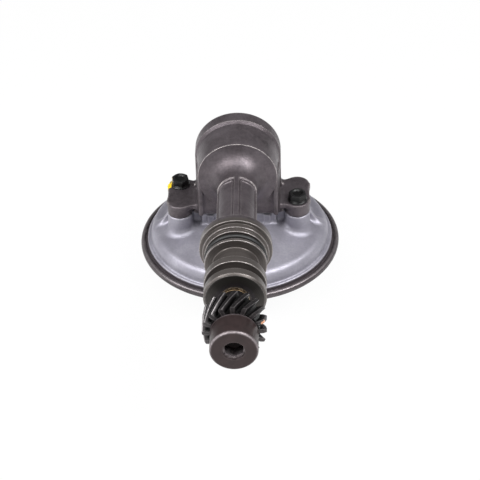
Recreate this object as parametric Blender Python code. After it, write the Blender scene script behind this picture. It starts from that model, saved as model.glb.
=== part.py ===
"""Diaphragm vacuum pump with a gear-driven shaft, modelled as separate pieces.

The pump lies on its round outer cover. +Z is the axis of the round covers, the shaft lies along Y with its
gear end towards -Y, and the origin is the centre of the flat face that the pump rests on.
"""

import math

import bmesh
import bpy
from mathutils import Vector

mm = 0.001

# Fineness of round forms
cover_steps = 44
stem_steps = 36
core_steps = 24
small_steps = 14
wire_sides = 4
large_round = 2.5 * mm
small_round = 1.0 * mm
sharp_angle = math.radians(35.0)

# Clearances
seat_gap = 0.15 * mm
running_gap = 0.12 * mm
bolt_gap = 0.25 * mm
overrun = 2.0 * mm
blend_overlap = 1.2 * mm

# Driving sizes
ring_level = 20.0 * mm
shaft_rise = 61.6 * mm
shaft_height = ring_level + shaft_rise
crank_throw = 3.5 * mm
rest_crank_height = shaft_height - crank_throw

# Rolled rim and dish of the outer cover
rim_radius = 64.0 * mm
rim_top_rise = 2.2 * mm
rim_under_below = 1.5 * mm
rim_edge_round = 1.9 * mm
rim_under_inset = 2.5 * mm
rim_lip_wall = 0.9 * mm
rim_side_wall = 1.6 * mm
rim_lip_reach = 2.6 * mm
channel_floor_below = 1.0 * mm
channel_floor_width = 6.4 * mm
flange_under_inset = 3.7 * mm
flange_under_below = 2.8 * mm
dish_wall = 2.2 * mm
dish_bend_inset = 6.5 * mm
dish_bend_rise = 9.0 * mm
dish_bend_round = 4.0 * mm
dish_foot_inset = 18.3 * mm
dish_foot_round = 5.0 * mm
dish_inner_share = 0.7

# Light cover
diaphragm_thickness = 0.75 * mm
cover_rim_thickness = 1.1 * mm
cover_flange_rise = 4.3 * mm
cover_flange_width = 3.4 * mm
cover_wall_top_inset = 5.75 * mm
cover_wall_top_rise = 12.6 * mm
cover_shoulder_width = 4.9 * mm
cover_cone_foot_rise = 14.0 * mm
cover_cone_top_radius = 24.0 * mm
cover_cone_top_rise = 19.8 * mm
cover_wall = 3.0 * mm
cover_edge_round = 0.8 * mm
cover_shoulder_round = 3.2 * mm
cover_clamp_width = 8.2 * mm

# Housing base, ears and lobes
base_under_rise = 28.45 * mm
ear_top_rise = 36.9 * mm
ear_plate_thickness = 3.6 * mm
ear_waist_reach = 13.7 * mm
lobe_radius = 7.7 * mm
lobe_across = 37.4 * mm
lobe_along = 8.9 * mm
base_plate_thickness = 2.4 * mm
base_front = -10.4 * mm
base_half_width = 28.6 * mm
core_half_along = 8.0 * mm
gasket_thickness = 0.5 * mm
passage_half_across = 13.0 * mm
passage_half_along = 8.0 * mm
passage_round = 3.0 * mm

# Tower and bosses of the light cover
tower_half_across = 24.0 * mm
tower_corner_round = 3.0 * mm
pilaster_inner = 15.8 * mm
pilaster_width = 4.4 * mm
pilaster_proud = 0.9 * mm
boss_radius = 7.9 * mm
boss_skirt_radius = 11.0 * mm
boss_skirt_rise = 3.6 * mm
boss_web_half_width = 3.5 * mm
boss_web_rise = 22.5 * mm
side_web_half_width = 5.0 * mm
side_web_rise = 20.8 * mm
fin_half_thickness = 1.1 * mm
fin_along = -0.5 * mm
fin_overhang = 2.5 * mm
fin_top_rise = 23.5 * mm

# Dome, along the shaft
dome_rear = 14.1 * mm
dome_radius = 27.1 * mm
dome_band_front = 5.0 * mm
dome_body_rear = 2.0 * mm
dome_body_radius = 25.7 * mm
dome_front_radius = 24.75 * mm
dome_front = -18.4 * mm
dome_edge = 0.45 * mm
dome_rear_round = 1.1 * mm
bell_end = -32.4 * mm
bell_steps = 5
cheek_thickness = 3.0 * mm
cheek_front = -16.8 * mm
front_wall_front = -14.2 * mm
front_wall_rise = 3.8 * mm
crank_room_radius = 21.5 * mm
crank_room_rear = 9.4 * mm
crank_room_front = -12.6 * mm
cap_bore_radius = 22.5 * mm
cap_thickness = 2.2 * mm
cap_dish_depth = 1.2 * mm
cap_dish_radius = 17.0 * mm

# Neck and its cast panels
neck_radius = 12.3 * mm
panel_depth = 0.9 * mm
panel_rear = -34.9 * mm
panel_front = -83.6 * mm
panel_rib_half_angle = math.radians(6.0)
panel_end_angle = math.radians(79.0)
panel_arc_steps = 4

# Collar, seats, grooves and lands, along the shaft
collar_rear = -86.0 * mm
collar_radius = 21.9 * mm
collar_front = -92.8 * mm
step_radius = 19.9 * mm
step_front = -96.3 * mm
seat_radius = 18.6 * mm
seat_front = -99.0 * mm
ring_groove_radius = 15.6 * mm
ring_groove_front = -105.0 * mm
land_radius = 18.5 * mm
first_land_front = -107.4 * mm
groove_radius = 13.3 * mm
second_land_rear = -121.7 * mm
second_land_front = -127.3 * mm
third_land_rear = -133.2 * mm
third_land_front = -139.2 * mm
land_edge = 0.3 * mm
front_chamfer = 0.9 * mm
neck_fillet = 1.6 * mm
collar_draft = 0.4 * mm
oil_hole_radius = 1.5 * mm
oil_notch_radius = 1.3 * mm
oil_notch_depth = 1.0 * mm
ring_section_radius = 1.5 * mm

# Shaft and bushes
journal_radius = 7.5 * mm
bush_wall = 1.0 * mm
front_bush_length = 22.0 * mm
front_bush_inset = 0.4 * mm
rear_bush_length = 20.0 * mm
rear_bush_inset = 3.0 * mm
journal_rear = -7.6 * mm
nose_radius = 5.5 * mm
tail_radius = 5.5 * mm
tail_end = 7.8 * mm
eccentric_radius = 11.0 * mm
eccentric_half_width = 5.0 * mm
bearing_wall = 2.2 * mm
bearing_half_width = 4.5 * mm
clip_thickness = 1.0 * mm
clip_radius = 7.8 * mm
clip_groove_depth = 0.9 * mm
clip_gap_share = 0.25

# Gear and end collar
washer_thickness = 1.5 * mm
washer_radius = 8.6 * mm
gear_rear = -153.9 * mm
gear_front = -168.5 * mm
gear_hub_radius = 8.4 * mm
gear_tip_radius = 18.4 * mm
gear_teeth = 16
gear_helix = math.radians(29.0)
gear_pressure = math.radians(20.0)
gear_addendum_share = 1.0
gear_dedendum_share = 1.25
gear_slices = 3
gear_flank_steps = 3
gear_first_tooth = math.radians(-2.5)
pin_radius = 2.0 * mm
drive_end = -185.1 * mm
drive_radius = 13.8 * mm
drive_chamfer = 1.0 * mm
socket_across_flats = 10.4 * mm
socket_depth = 9.5 * mm
socket_mouth_radius = 6.1 * mm
socket_mouth_depth = 0.9 * mm
socket_floor = 2.0 * mm

# Connecting rod, plates and diaphragm
rod_eye_wall = 3.4 * mm
rod_half_width = 4.2 * mm
rod_shank_top_half = 5.4 * mm
rod_shank_foot_half = 4.0 * mm
rod_recess_depth = 1.3 * mm
rod_recess_margin = 1.6 * mm
rod_foot_radius = 7.4 * mm
rod_foot_thickness = 3.0 * mm
rod_foot_round = 0.8 * mm
stud_radius = 3.0 * mm
plate_clearance = 3.5 * mm
plate_thickness = 1.6 * mm
plate_lip = 1.4 * mm
nut_height = 4.5 * mm
nut_across_flats = 10.0 * mm
stud_beyond_nut = 1.0 * mm
roll_inset = 3.0 * mm
roll_rise = 3.6 * mm
roll_steps = 4

# Flange bolts
bolt_radius = 3.0 * mm
bolt_grip = 12.0 * mm
bolt_flange_radius = 6.15 * mm
bolt_flange_thickness = 1.3 * mm
bolt_head_height = 5.3 * mm
bolt_across_flats = 10.0 * mm
bolt_dish_radius = 3.5 * mm
bolt_dish_depth = 0.8 * mm
bolt_tip_chamfer = 0.6 * mm
bolt_turn = math.radians(12.0)

# Valves and nozzle in the outer cover
valve_across = 10.0 * mm
valve_inset = 15.0 * mm
valve_block_half_across = 18.6 * mm
valve_block_ahead = 8.6 * mm
valve_block_behind = 12.6 * mm
valve_block_under = 0.9 * mm
valve_block_top = 12.0 * mm
valve_block_round = 3.0 * mm
valve_port_radius = 3.0 * mm
valve_disc_radius = 5.0 * mm
valve_disc_thickness = 1.0 * mm
valve_disc_dish = 0.25 * mm
valve_lift = 1.2 * mm
inlet_pocket_radius = 7.0 * mm
inlet_seat_level = 10.2 * mm
cage_wall = 0.9 * mm
cage_flange_thickness = 1.0 * mm
cage_height = 6.0 * mm
cage_window_half_width = 1.6 * mm
spring_radius = 3.1 * mm
spring_wire_radius = 0.35 * mm
spring_turns = 2.5
spring_steps_per_turn = 10
outlet_pocket_radius = 6.5 * mm
outlet_ledge_level = 9.6 * mm
outlet_room_radius = 6.0 * mm
outlet_room_floor = 4.0 * mm
outlet_hole_radius = 2.2 * mm
outlet_hole_level = 6.4 * mm
nozzle_level = 7.0 * mm
nozzle_boss_radius = 6.4 * mm
nozzle_boss_length = 7.5 * mm
nozzle_bore_radius = 2.6 * mm
nozzle_tube_radius = 4.0 * mm
nozzle_seat_behind = 11.0 * mm
nozzle_length = 24.5 * mm
nozzle_collar_radius = 6.0 * mm
nozzle_collar_length = 2.0 * mm
nozzle_barb_radius = 4.8 * mm
nozzle_barb_pitch = 6.0 * mm
nozzle_barbs = 3
nozzle_crest_share = 1 / 3

# Places worked out from the sizes above
bush_bore_radius = journal_radius + running_gap + bush_wall + seat_gap
base_under = ring_level + base_under_rise
ear_top = ring_level + ear_top_rise
boss_top = base_under - seat_gap
tower_top = base_under - gasket_thickness - 2 * seat_gap
channel_floor = ring_level - channel_floor_below
channel_radius = rim_radius - rim_side_wall
rim_lip_inner_radius = channel_radius - rim_lip_reach
flange_under_radius = rim_radius - flange_under_inset
dish_mouth_radius = channel_radius - channel_floor_width
dish_bend_radius = dish_mouth_radius - dish_bend_inset
dish_foot_radius = dish_mouth_radius - dish_foot_inset
cover_flange_radius = rim_lip_inner_radius - seat_gap
cover_wall_top_radius = cover_flange_radius - cover_wall_top_inset
cover_cone_foot_radius = cover_wall_top_radius - cover_shoulder_width
cover_chamber_radius = channel_radius - cover_clamp_width
fin_reach = cover_cone_foot_radius + fin_overhang
valve_along = dish_mouth_radius - valve_inset
valve_block_front = valve_along - valve_block_ahead
valve_block_rear = valve_along + valve_block_behind
nozzle_seat_front = valve_along + nozzle_seat_behind
nozzle_boss_rear = nozzle_seat_front + nozzle_boss_length
nozzle_end = nozzle_boss_rear + nozzle_length
plate_radius = valve_along - inlet_pocket_radius - plate_clearance
roll_inner_radius = plate_radius + roll_inset
roll_outer_radius = cover_chamber_radius - seat_gap
diaphragm_level = channel_floor + seat_gap + diaphragm_thickness / 2
cover_rim_under = channel_floor + 2 * seat_gap + diaphragm_thickness
clamp_radius = channel_radius - seat_gap
plate_level = diaphragm_level - crank_throw
bearing_inner = eccentric_radius + running_gap
eye_inner = bearing_inner + bearing_wall + seat_gap
eye_outer = eye_inner + rod_eye_wall
hub_rear = third_land_front - 2 * seat_gap - washer_thickness
shaft_front = drive_end + socket_depth + socket_floor
bolted_lobes = (("left", -lobe_across, lobe_along), ("right", lobe_across, -lobe_along))


def clear_scene():
    for old in list(bpy.data.objects):
        bpy.data.objects.remove(old, do_unlink=True)


def finish(name, colour, metallic, roughness):
    made = bpy.data.materials.new(name)
    made.use_nodes = True
    shader = made.node_tree.nodes["Principled BSDF"]
    shader.inputs["Base Color"].default_value = (*colour, 1.0)
    shader.inputs["Metallic"].default_value = metallic
    shader.inputs["Roughness"].default_value = roughness
    return made


def rounded(corners, closed=True):
    """The outline through (u, v, radius) corners, each with an arc of its radius where there is room."""
    points = []
    for i, (u, v, radius) in enumerate(corners):
        here = Vector((u, v))
        inner = closed or 0 < i < len(corners) - 1
        if radius <= 0 or not inner:
            points.append(here)
            continue
        before = Vector(corners[i - 1][:2]) - here
        after = Vector(corners[(i + 1) % len(corners)][:2]) - here
        half = before.angle(after) / 2
        reach = min(radius / math.tan(half), before.length / 2.1, after.length / 2.1)
        real = reach * math.tan(half)
        centre = here + (before.normalized() + after.normalized()).normalized() * real / math.sin(half)
        start = here + before.normalized() * reach - centre
        turn = start.angle_signed(here + after.normalized() * reach - centre)
        steps = 1 + (radius > small_round) + (radius > large_round)
        for k in range(steps + 1):
            angle = -turn * k / steps
            spun = Vector((start.x * math.cos(angle) - start.y * math.sin(angle),
                           start.x * math.sin(angle) + start.y * math.cos(angle)))
            points.append(centre + spun)
    return points


def placed(name, verts, faces, place, material, parent=None):
    mesh = bpy.data.meshes.new(name)
    mesh.from_pydata(verts, [], faces)
    work = bmesh.new()
    work.from_mesh(mesh)
    bmesh.ops.recalc_face_normals(work, faces=work.faces)
    work.to_mesh(mesh)
    work.free()
    mesh.shade_smooth()
    mesh.set_sharp_from_angle(angle=sharp_angle)
    made = bpy.data.objects.new(name, mesh)
    made.location = place
    made.parent = parent
    if material:
        mesh.materials.append(material)
    bpy.context.scene.collection.objects.link(made)
    return made


def oriented(axis, across, up, along):
    """A point given across, up and along an axis, as x, y, z."""
    return {"X": (along, across, up), "Y": (across, along, up), "Z": (across, up, along)}[axis]


def turned(name, points, axis, place, material=None, steps=stem_steps, parent=None):
    """A solid of revolution. Points are (radius, along); a chain that starts and ends at radius zero gets flat
    ends there, any other is closed on itself."""
    capped = points[0][0] <= 0
    rings = points[1:-1] if capped else points
    turns = [2 * math.pi * (k + 0.5) / steps for k in range(steps)]
    verts = [oriented(axis, r * math.cos(a), r * math.sin(a), along) for r, along in rings for a in turns]
    count = len(rings)
    faces = [tuple(range(steps)), tuple(range((count - 1) * steps, count * steps))] if capped else []
    for i in range(count - capped):
        first = i * steps
        second = (i + 1) % count * steps
        faces += [(first + k, second + k, second + (k + 1) % steps,
                   first + (k + 1) % steps) for k in range(steps)]
    return placed(name, verts, faces, place, material, parent)


def extruded(name, outline, low, high, axis, place=(0, 0, 0), material=None, parent=None):
    """An outline of (across, up) points carried along an axis from low to high."""
    count = len(outline)
    verts = [oriented(axis, p[0], p[1], along) for along in (low, high) for p in outline]
    faces = [tuple(range(count)), tuple(range(count, 2 * count))]
    faces += [(k, (k + 1) % count, count + (k + 1) % count, count + k) for k in range(count)]
    return placed(name, verts, faces, place, material, parent)


def disc(name, radius, low, high, axis, place, steps=small_steps, material=None, parent=None):
    return turned(name, [(0, low), (radius, low), (radius, high), (0, high)], axis, place, material, steps,
                  parent)


def stepped(cylinders):
    """Outline of cylinders end to end, each given by its radius, its start and its end along the axis."""
    points = [(0, cylinders[0][1])]
    for radius, low, high in cylinders:
        points += [(radius, low), (radius, high)]
    return points + [(0, cylinders[-1][2])]


def box_outline(left, right, low, high, radius=0):
    return rounded([(left, low, radius), (right, low, radius), (right, high, radius), (left, high, radius)])


def hexagon(across_flats, first_angle):
    corner = across_flats / 2 / math.cos(math.pi / 6)
    angles = [first_angle + k * math.pi / 3 for k in range(6)]
    return [(corner * math.cos(a), corner * math.sin(a)) for a in angles]


def combine(target, tools, operation):
    for tool in tools:
        modifier = target.modifiers.new(tool.name, "BOOLEAN")
        modifier.operation = operation
        modifier.solver = "EXACT"
        modifier.object = tool
        tool.hide_render = True
        tool.display_type = "WIRE"
    return target


def join(target, *tools):
    return combine(target, tools, "UNION")


def cut(target, *tools):
    return combine(target, tools, "DIFFERENCE")


def empty(name, place, parent=None):
    made = bpy.data.objects.new(name, None)
    made.location = place
    made.parent = parent
    bpy.context.scene.collection.objects.link(made)
    return made


def make_outer_cover(material):
    """Shallow dish with a rolled rim. The valve block stands inside at the rear, the nozzle boss outside."""
    top = ring_level + rim_top_rise
    under = ring_level - rim_under_below
    flange_under = ring_level - flange_under_below
    inner_bend = dish_bend_radius - dish_wall * dish_inner_share
    inner_foot = dish_foot_radius - dish_wall / 2
    corners = [
        (0, 0, 0),
        (dish_foot_radius, 0, dish_foot_round),
        (dish_bend_radius, dish_bend_rise, dish_bend_round),
        (dish_mouth_radius + dish_wall, flange_under, 0),
        (flange_under_radius, flange_under, 0),
        (rim_radius - rim_under_inset, under, 0),
        (rim_radius, ring_level, 0),
        (rim_radius, top, rim_edge_round),
        (rim_lip_inner_radius, top, 0),
        (rim_lip_inner_radius, top - rim_lip_wall, 0),
        (channel_radius, top - rim_lip_wall, 0),
        (channel_radius, channel_floor, 0),
        (dish_mouth_radius, channel_floor, 0),
        (inner_bend, dish_bend_rise + dish_wall * dish_inner_share, dish_bend_round),
        (inner_foot, dish_wall, cover_edge_round),
        (0, dish_wall, 0),
    ]
    cover = turned("outer_cover", rounded(corners, closed=False), "Z", (0, 0, 0), material, cover_steps)
    half = valve_block_half_across
    block = extruded("valve_block", box_outline(-half, half, valve_block_front, valve_block_rear,
                                                valve_block_round),
                     valve_block_under, valve_block_top, "Z")
    boss_front = valve_along + outlet_room_radius
    nozzle_boss = disc("nozzle_boss", nozzle_boss_radius, boss_front, nozzle_boss_rear, "Y",
                       (-valve_across, 0, nozzle_level))
    outlet_boss = disc("outlet_boss", outlet_hole_radius + dish_wall, boss_front,
                       nozzle_boss_rear - overrun, "Y",
                       (valve_across, 0, outlet_hole_level))
    join(cover, block, nozzle_boss, outlet_boss)
    inlet = (-valve_across, valve_along, 0)
    outlet = (valve_across, valve_along, 0)
    top_clear = valve_block_top + overrun
    port_low = nozzle_level - valve_port_radius / 2
    tube = nozzle_tube_radius + seat_gap
    inlet_cut = stepped([(valve_port_radius, port_low, inlet_seat_level),
                         (inlet_pocket_radius, inlet_seat_level, top_clear)])
    outlet_cut = stepped([(outlet_room_radius, outlet_room_floor, outlet_ledge_level),
                          (outlet_pocket_radius, outlet_ledge_level, top_clear)])
    nozzle_cut = stepped([(nozzle_bore_radius, valve_along, nozzle_seat_front),
                          (tube, nozzle_seat_front, nozzle_boss_rear + overrun)])
    cut(
        cover,
        turned("inlet_pocket_cut", inlet_cut, "Z", inlet, steps=small_steps),
        turned("outlet_pocket_cut", outlet_cut, "Z", outlet, steps=small_steps),
        turned("nozzle_bore_cut", nozzle_cut, "Y", (-valve_across, 0, nozzle_level), steps=small_steps),
        disc("outlet_hole_cut", outlet_hole_radius, valve_along, nozzle_boss_rear + overrun, "Y",
             (valve_across, 0, outlet_hole_level)),
    )
    return cover


def cover_outline():
    """Top side of the light cover from the centre out to its clamped rim."""
    rim_top = cover_rim_under + cover_rim_thickness
    flange_radius = cover_flange_radius
    return [
        (0, ring_level + cover_cone_top_rise, 0),
        (cover_cone_top_radius, ring_level + cover_cone_top_rise, cover_shoulder_round),
        (cover_cone_foot_radius, ring_level + cover_cone_foot_rise, cover_shoulder_round),
        (cover_wall_top_radius, ring_level + cover_wall_top_rise, cover_shoulder_round),
        (flange_radius - cover_flange_width, ring_level + cover_flange_rise, cover_edge_round),
        (flange_radius, ring_level + cover_flange_rise, cover_edge_round),
        (flange_radius, rim_top, 0),
        (clamp_radius, rim_top, 0),
        (clamp_radius, cover_rim_under, 0),
        (0, cover_rim_under, 0),
    ]


def cone_rise(radius):
    """Height of the gentle cone above the ring level at a radius."""
    share = (radius - cover_cone_top_radius) / (cover_cone_foot_radius - cover_cone_top_radius)
    return cover_cone_top_rise + share * (cover_cone_foot_rise - cover_cone_top_rise)


def make_light_cover(material):
    """Cast cover: turned flange, wall and cone, a hollow centre tower, four bosses, webs and gusset fins."""
    cover = turned("diaphragm_cover", rounded(cover_outline(), closed=False), "Z", (0, 0, 0), material,
                   cover_steps)
    root = ring_level + cover_cone_foot_rise - cover_wall / 2
    half = tower_half_across
    tower_rear = dome_rear - seat_gap
    tower = extruded("tower", box_outline(-half, half, base_front, tower_rear, tower_corner_round),
                     root, tower_top, "Z")
    pieces = [tower]
    for side in (-1, 1):
        left, right = sorted((side * pilaster_inner, side * (pilaster_inner + pilaster_width)))
        pieces.append(extruded(f"pilaster_{side}", box_outline(left, right, base_front - pilaster_proud, 0),
                               root, tower_top - pilaster_proud, "Z"))
        across = side * lobe_across
        low, high = sorted((side * (half - blend_overlap), across))
        pieces.append(extruded(f"side_web_{side}", box_outline(low, high, -side_web_half_width,
                                                               side_web_half_width),
                               root, ring_level + side_web_rise, "Z"))
        width = boss_web_half_width
        pieces.append(extruded(f"boss_web_{side}", box_outline(across - width, across + width, -lobe_along,
                                                               lobe_along),
                               root, ring_level + boss_web_rise, "Z"))
        fin_foot = ring_level + cone_rise(fin_reach) - cover_wall / 2
        fin = [(across, fin_foot), (side * fin_reach, fin_foot),
               (side * fin_reach, fin_foot + cover_wall / 2), (across, ring_level + fin_top_rise)]
        pieces.append(extruded(f"fin_{side}", fin, fin_along - fin_half_thickness,
                               fin_along + fin_half_thickness,
                               "Y"))
        for along in (-lobe_along, lobe_along):
            skirt_foot = ring_level + cone_rise(math.hypot(lobe_across, lobe_along))
            points = [(0, root), (boss_skirt_radius, root), (boss_skirt_radius, skirt_foot),
                      (boss_radius, skirt_foot + boss_skirt_rise), (boss_radius, boss_top), (0, boss_top)]
            pieces.append(turned(f"boss_{side}_{along > 0}", points, "Z", (across, along, 0),
                                 steps=small_steps))
    join(cover, *pieces)
    inner_top = ring_level + cover_cone_top_rise - cover_wall
    room = [
        (0, cover_rim_under - overrun, 0),
        (cover_chamber_radius, cover_rim_under - overrun, 0),
        (cover_chamber_radius, ring_level + cover_flange_rise, 0),
        (cover_wall_top_radius - cover_wall, ring_level + cover_wall_top_rise - cover_wall, cover_edge_round),
        (cover_cone_foot_radius - cover_wall / 2, ring_level + cover_cone_foot_rise - cover_wall, 0),
        (cover_cone_top_radius, inner_top, 0),
        (0, inner_top, 0),
    ]
    cut(
        cover,
        turned("cover_room_cut", rounded(room, closed=False), "Z", (0, 0, 0), steps=cover_steps),
        extruded("tower_passage_cut", box_outline(-passage_half_across, passage_half_across,
                                                  -passage_half_along,
                                                  passage_half_along, passage_round),
                 inner_top - overrun, tower_top + overrun, "Z"),
        *[disc(f"boss_hole_cut_{side}", bolt_radius + bolt_gap, boss_top - bolt_grip, boss_top + overrun, "Z",
               (across, along, 0), small_steps) for side, across, along in bolted_lobes],
    )
    return cover


def bell_points():
    """Quarter ellipse from the face of the dome down to the neck."""
    reach = dome_front_radius - dome_edge - neck_radius
    depth = dome_front - bell_end
    points = []
    for k in range(bell_steps + 1):
        angle = math.pi / 2 * k / bell_steps
        points.append((dome_front_radius - dome_edge - reach * math.sin(angle),
                       dome_front - depth * (1 - math.cos(angle)), 0))
    return points


def housing_outline():
    """Turned outline of the housing, from the rear of the dome to the front face."""
    return [
        (0, dome_rear, 0),
        (dome_radius, dome_rear, dome_rear_round),
        (dome_radius, dome_band_front, dome_edge),
        (dome_body_radius, dome_body_rear, dome_rear_round),
        (dome_front_radius, dome_front + dome_edge, 0),
        *bell_points(),
        (neck_radius, collar_rear, neck_fillet),
        (collar_radius - collar_draft, collar_rear, 0),
        (collar_radius, collar_front, 0),
        (step_radius, collar_front, 0),
        (step_radius, step_front, 0),
        (seat_radius, step_front, 0),
        (seat_radius, seat_front, 0),
        (ring_groove_radius, seat_front, 0),
        (ring_groove_radius, ring_groove_front, 0),
        (land_radius, ring_groove_front, 0),
        (land_radius, first_land_front, 0),
        (groove_radius, first_land_front, 0),
        (groove_radius, second_land_rear, 0),
        (land_radius, second_land_rear, 0),
        (land_radius, second_land_front, land_edge),
        (groove_radius, second_land_front, 0),
        (groove_radius, third_land_rear, 0),
        (land_radius, third_land_rear, 0),
        (land_radius, third_land_front + front_chamfer, 0),
        (land_radius - front_chamfer, third_land_front, 0),
        (0, third_land_front, 0),
    ]


def panel_outline(first, last):
    """Ring sector that sinks one cast panel into the neck, as across and up from the shaft axis."""
    inner = neck_radius - panel_depth
    outer = neck_radius + overrun
    angles = [first + (last - first) * k / panel_arc_steps for k in range(panel_arc_steps + 1)]
    inside = [(inner * math.sin(a), inner * math.cos(a)) for a in angles]
    outside = [(outer * math.sin(a), outer * math.cos(a)) for a in reversed(angles)]
    return inside + outside


def housing_body():
    """Block, cheeks, base plate and ears that join the dome to the cover below it."""
    axle = shaft_height
    half = dome_body_radius - seat_gap
    rear = dome_rear - seat_gap
    block = extruded("crank_block", box_outline(-half, half, base_under, axle), base_front, rear - overrun,
                     "Y")
    band = extruded("rear_band", box_outline(-dome_radius + seat_gap, dome_radius - seat_gap, base_under,
                                             axle),
                    dome_band_front, rear, "Y")
    front_half = half - cheek_thickness + blend_overlap
    front_wall = extruded("front_wall", box_outline(-front_half, front_half, base_under + front_wall_rise,
                                                    axle),
                          front_wall_front, 0, "Y")
    plate_top = base_under + base_plate_thickness
    base = extruded("base_plate", box_outline(-base_half_width, base_half_width, base_under, plate_top),
                    base_front, rear - overrun / 2, "Y")
    core = extruded("ear_core", box_outline(-base_half_width, base_half_width, base_under + seat_gap,
                                            ear_top - seat_gap), -core_half_along, rear - overrun, "Y")
    reach = lobe_across + lobe_radius
    waist = ear_waist_reach
    outline = [(-lobe_across, waist), (lobe_across, waist), (lobe_across, lobe_along), (reach, lobe_along),
               (reach, -lobe_along), (lobe_across, -lobe_along), (lobe_across, -waist),
               (-lobe_across, -waist),
               (-lobe_across, -lobe_along), (-reach, -lobe_along), (-reach, lobe_along),
               (-lobe_across, lobe_along)]
    ears = extruded("ear_plate", outline, ear_top - ear_plate_thickness, ear_top, "Z")
    pieces = [block, band, front_wall, base, core, ears]
    for side in (-1, 1):
        left, right = sorted((side * half, side * (half - cheek_thickness)))
        pieces.append(extruded(f"cheek_{side}", box_outline(left, right, ear_top - ear_plate_thickness, axle),
                               cheek_front, 0, "Y"))
        for along in (-lobe_along, lobe_along):
            pieces.append(disc(f"lobe_{side}_{along > 0}", lobe_radius, base_under, ear_top, "Z",
                               (side * lobe_across, along, 0), core_steps))
    return pieces


def make_housing(material):
    """Casting with the dome, the concave bell, the panelled neck, the collar, the lands and the ears."""
    axis_place = (0, 0, shaft_height)
    housing = turned("pump_housing", rounded(housing_outline(), closed=False), "Y", axis_place, material)
    join(housing, *housing_body())
    for number, turn in enumerate((0, math.pi)):
        for side in (-1, 1):
            outline = panel_outline(side * panel_rib_half_angle + turn, side * panel_end_angle + turn)
            cut(housing, extruded(f"panel_cut_{number}_{side}", outline, panel_front, panel_rear, "Y",
                                  axis_place))
    bore = [(0, third_land_front - overrun), (bush_bore_radius, third_land_front - overrun),
            (bush_bore_radius, crank_room_front), (crank_room_radius, crank_room_front),
            (crank_room_radius, crank_room_rear), (cap_bore_radius, crank_room_rear),
            (cap_bore_radius, dome_rear + overrun), (0, dome_rear + overrun)]
    base_face = base_under - seat_gap / 2
    trim = box_outline(-dome_radius - overrun, dome_radius + overrun, base_face - dome_radius, base_face)
    groove_middle = (first_land_front + second_land_rear) / 2
    notch_level = shaft_height + bush_bore_radius
    cut(
        housing,
        turned("shaft_bore_cut", bore, "Y", axis_place),
        extruded("base_face_cut", trim, dome_front - overrun, dome_rear + overrun, "Y"),
        extruded("rod_passage_cut", box_outline(-passage_half_across, passage_half_across,
                                                -passage_half_along,
                                                passage_half_along, passage_round),
                 base_under - overrun, shaft_height, "Z"),
        disc("oil_hole_cut", oil_hole_radius, shaft_height - groove_radius - overrun, shaft_height, "Z",
             (0, groove_middle, 0), small_steps),
        disc("oil_notch_cut", oil_notch_radius, third_land_front - overrun,
             third_land_front + oil_notch_depth,
             "Y", (0, 0, notch_level + oil_notch_radius), small_steps),
        *[disc(f"lobe_hole_cut_{side}", bolt_radius + bolt_gap, base_under - overrun, ear_top + overrun, "Z",
               (across, along, 0), small_steps) for side, across, along in bolted_lobes],
    )
    return housing


def make_gasket(material):
    """Flat gasket between the base plate and the cover tower."""
    half = tower_half_across - seat_gap
    level = tower_top + seat_gap
    outline = box_outline(-half, half, base_front + seat_gap, dome_rear - overrun, tower_corner_round)
    gasket = extruded("housing_gasket", outline, level, level + gasket_thickness, "Z", material=material)
    inner = seat_gap
    hole = box_outline(-passage_half_across - inner, passage_half_across + inner, -passage_half_along - inner,
                       passage_half_along + inner, passage_round)
    return cut(gasket, extruded("gasket_passage_cut", hole, level - overrun, level + overrun, "Z"))


def make_bolt(side, across, along, material):
    """Flange bolt with a dished hexagon head."""
    seat = ear_top + seat_gap
    top = seat + bolt_head_height
    end = seat - (ear_top - base_under) - bolt_grip + bolt_tip_chamfer
    points = [(0, end), (bolt_radius - bolt_tip_chamfer, end), (bolt_radius, end + bolt_tip_chamfer),
              (bolt_radius, seat), (bolt_flange_radius, seat),
              (bolt_flange_radius, seat + bolt_flange_thickness / 2),
              (bolt_across_flats / 2, seat + bolt_flange_thickness), (0, seat + bolt_flange_thickness)]
    place = (across, along, 0)
    bolt = turned(f"flange_bolt_{side}", points, "Z", place, material, small_steps)
    head = extruded(f"bolt_head_{side}", hexagon(bolt_across_flats, bolt_turn),
                    seat + bolt_flange_thickness / 2, top, "Z", place)
    flat = bolt_across_flats / 2
    rim = flat / math.cos(math.pi / 6)
    crown = [(flat, top + overrun), (flat, top), (rim, top - (rim - flat)),
             (rim + overrun, top - (rim - flat)),
             (rim + overrun, top + overrun)]
    dish = [(0, top - bolt_dish_depth), (bolt_dish_radius - bolt_dish_depth, top - bolt_dish_depth),
            (bolt_dish_radius, top), (bolt_dish_radius, top + overrun), (0, top + overrun)]
    join(bolt, head)
    return cut(bolt, turned(f"bolt_crown_cut_{side}", crown, "Z", place, steps=small_steps),
               turned(f"bolt_dish_cut_{side}", dish, "Z", place, steps=small_steps))


def sleeve(name, inner, outer, low, high, axis, place, material, steps=core_steps, parent=None):
    """Plain ring or tube."""
    points = [(inner, low), (outer, low), (outer, high), (inner, high)]
    return turned(name, points, axis, place, material, steps, parent)


def make_o_ring(material):
    middle = (seat_front + ring_groove_front) / 2
    centre = ring_groove_radius + seat_gap + ring_section_radius
    sides = wire_sides + 2
    points = [(centre + ring_section_radius * math.cos(2 * math.pi * k / sides),
               middle + ring_section_radius * math.sin(2 * math.pi * k / sides)) for k in range(sides)]
    return turned("mounting_o_ring", points, "Y", (0, 0, shaft_height), material)


def make_bushes(material):
    place = (0, 0, shaft_height)
    inner = journal_radius + running_gap
    outer = inner + bush_wall
    front = third_land_front + front_bush_inset
    rear = crank_room_front - rear_bush_inset
    sleeve("front_bush", inner, outer, front, front + front_bush_length, "Y", place, material)
    sleeve("rear_bush", inner, outer, rear - rear_bush_length, rear, "Y", place, material)


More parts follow.
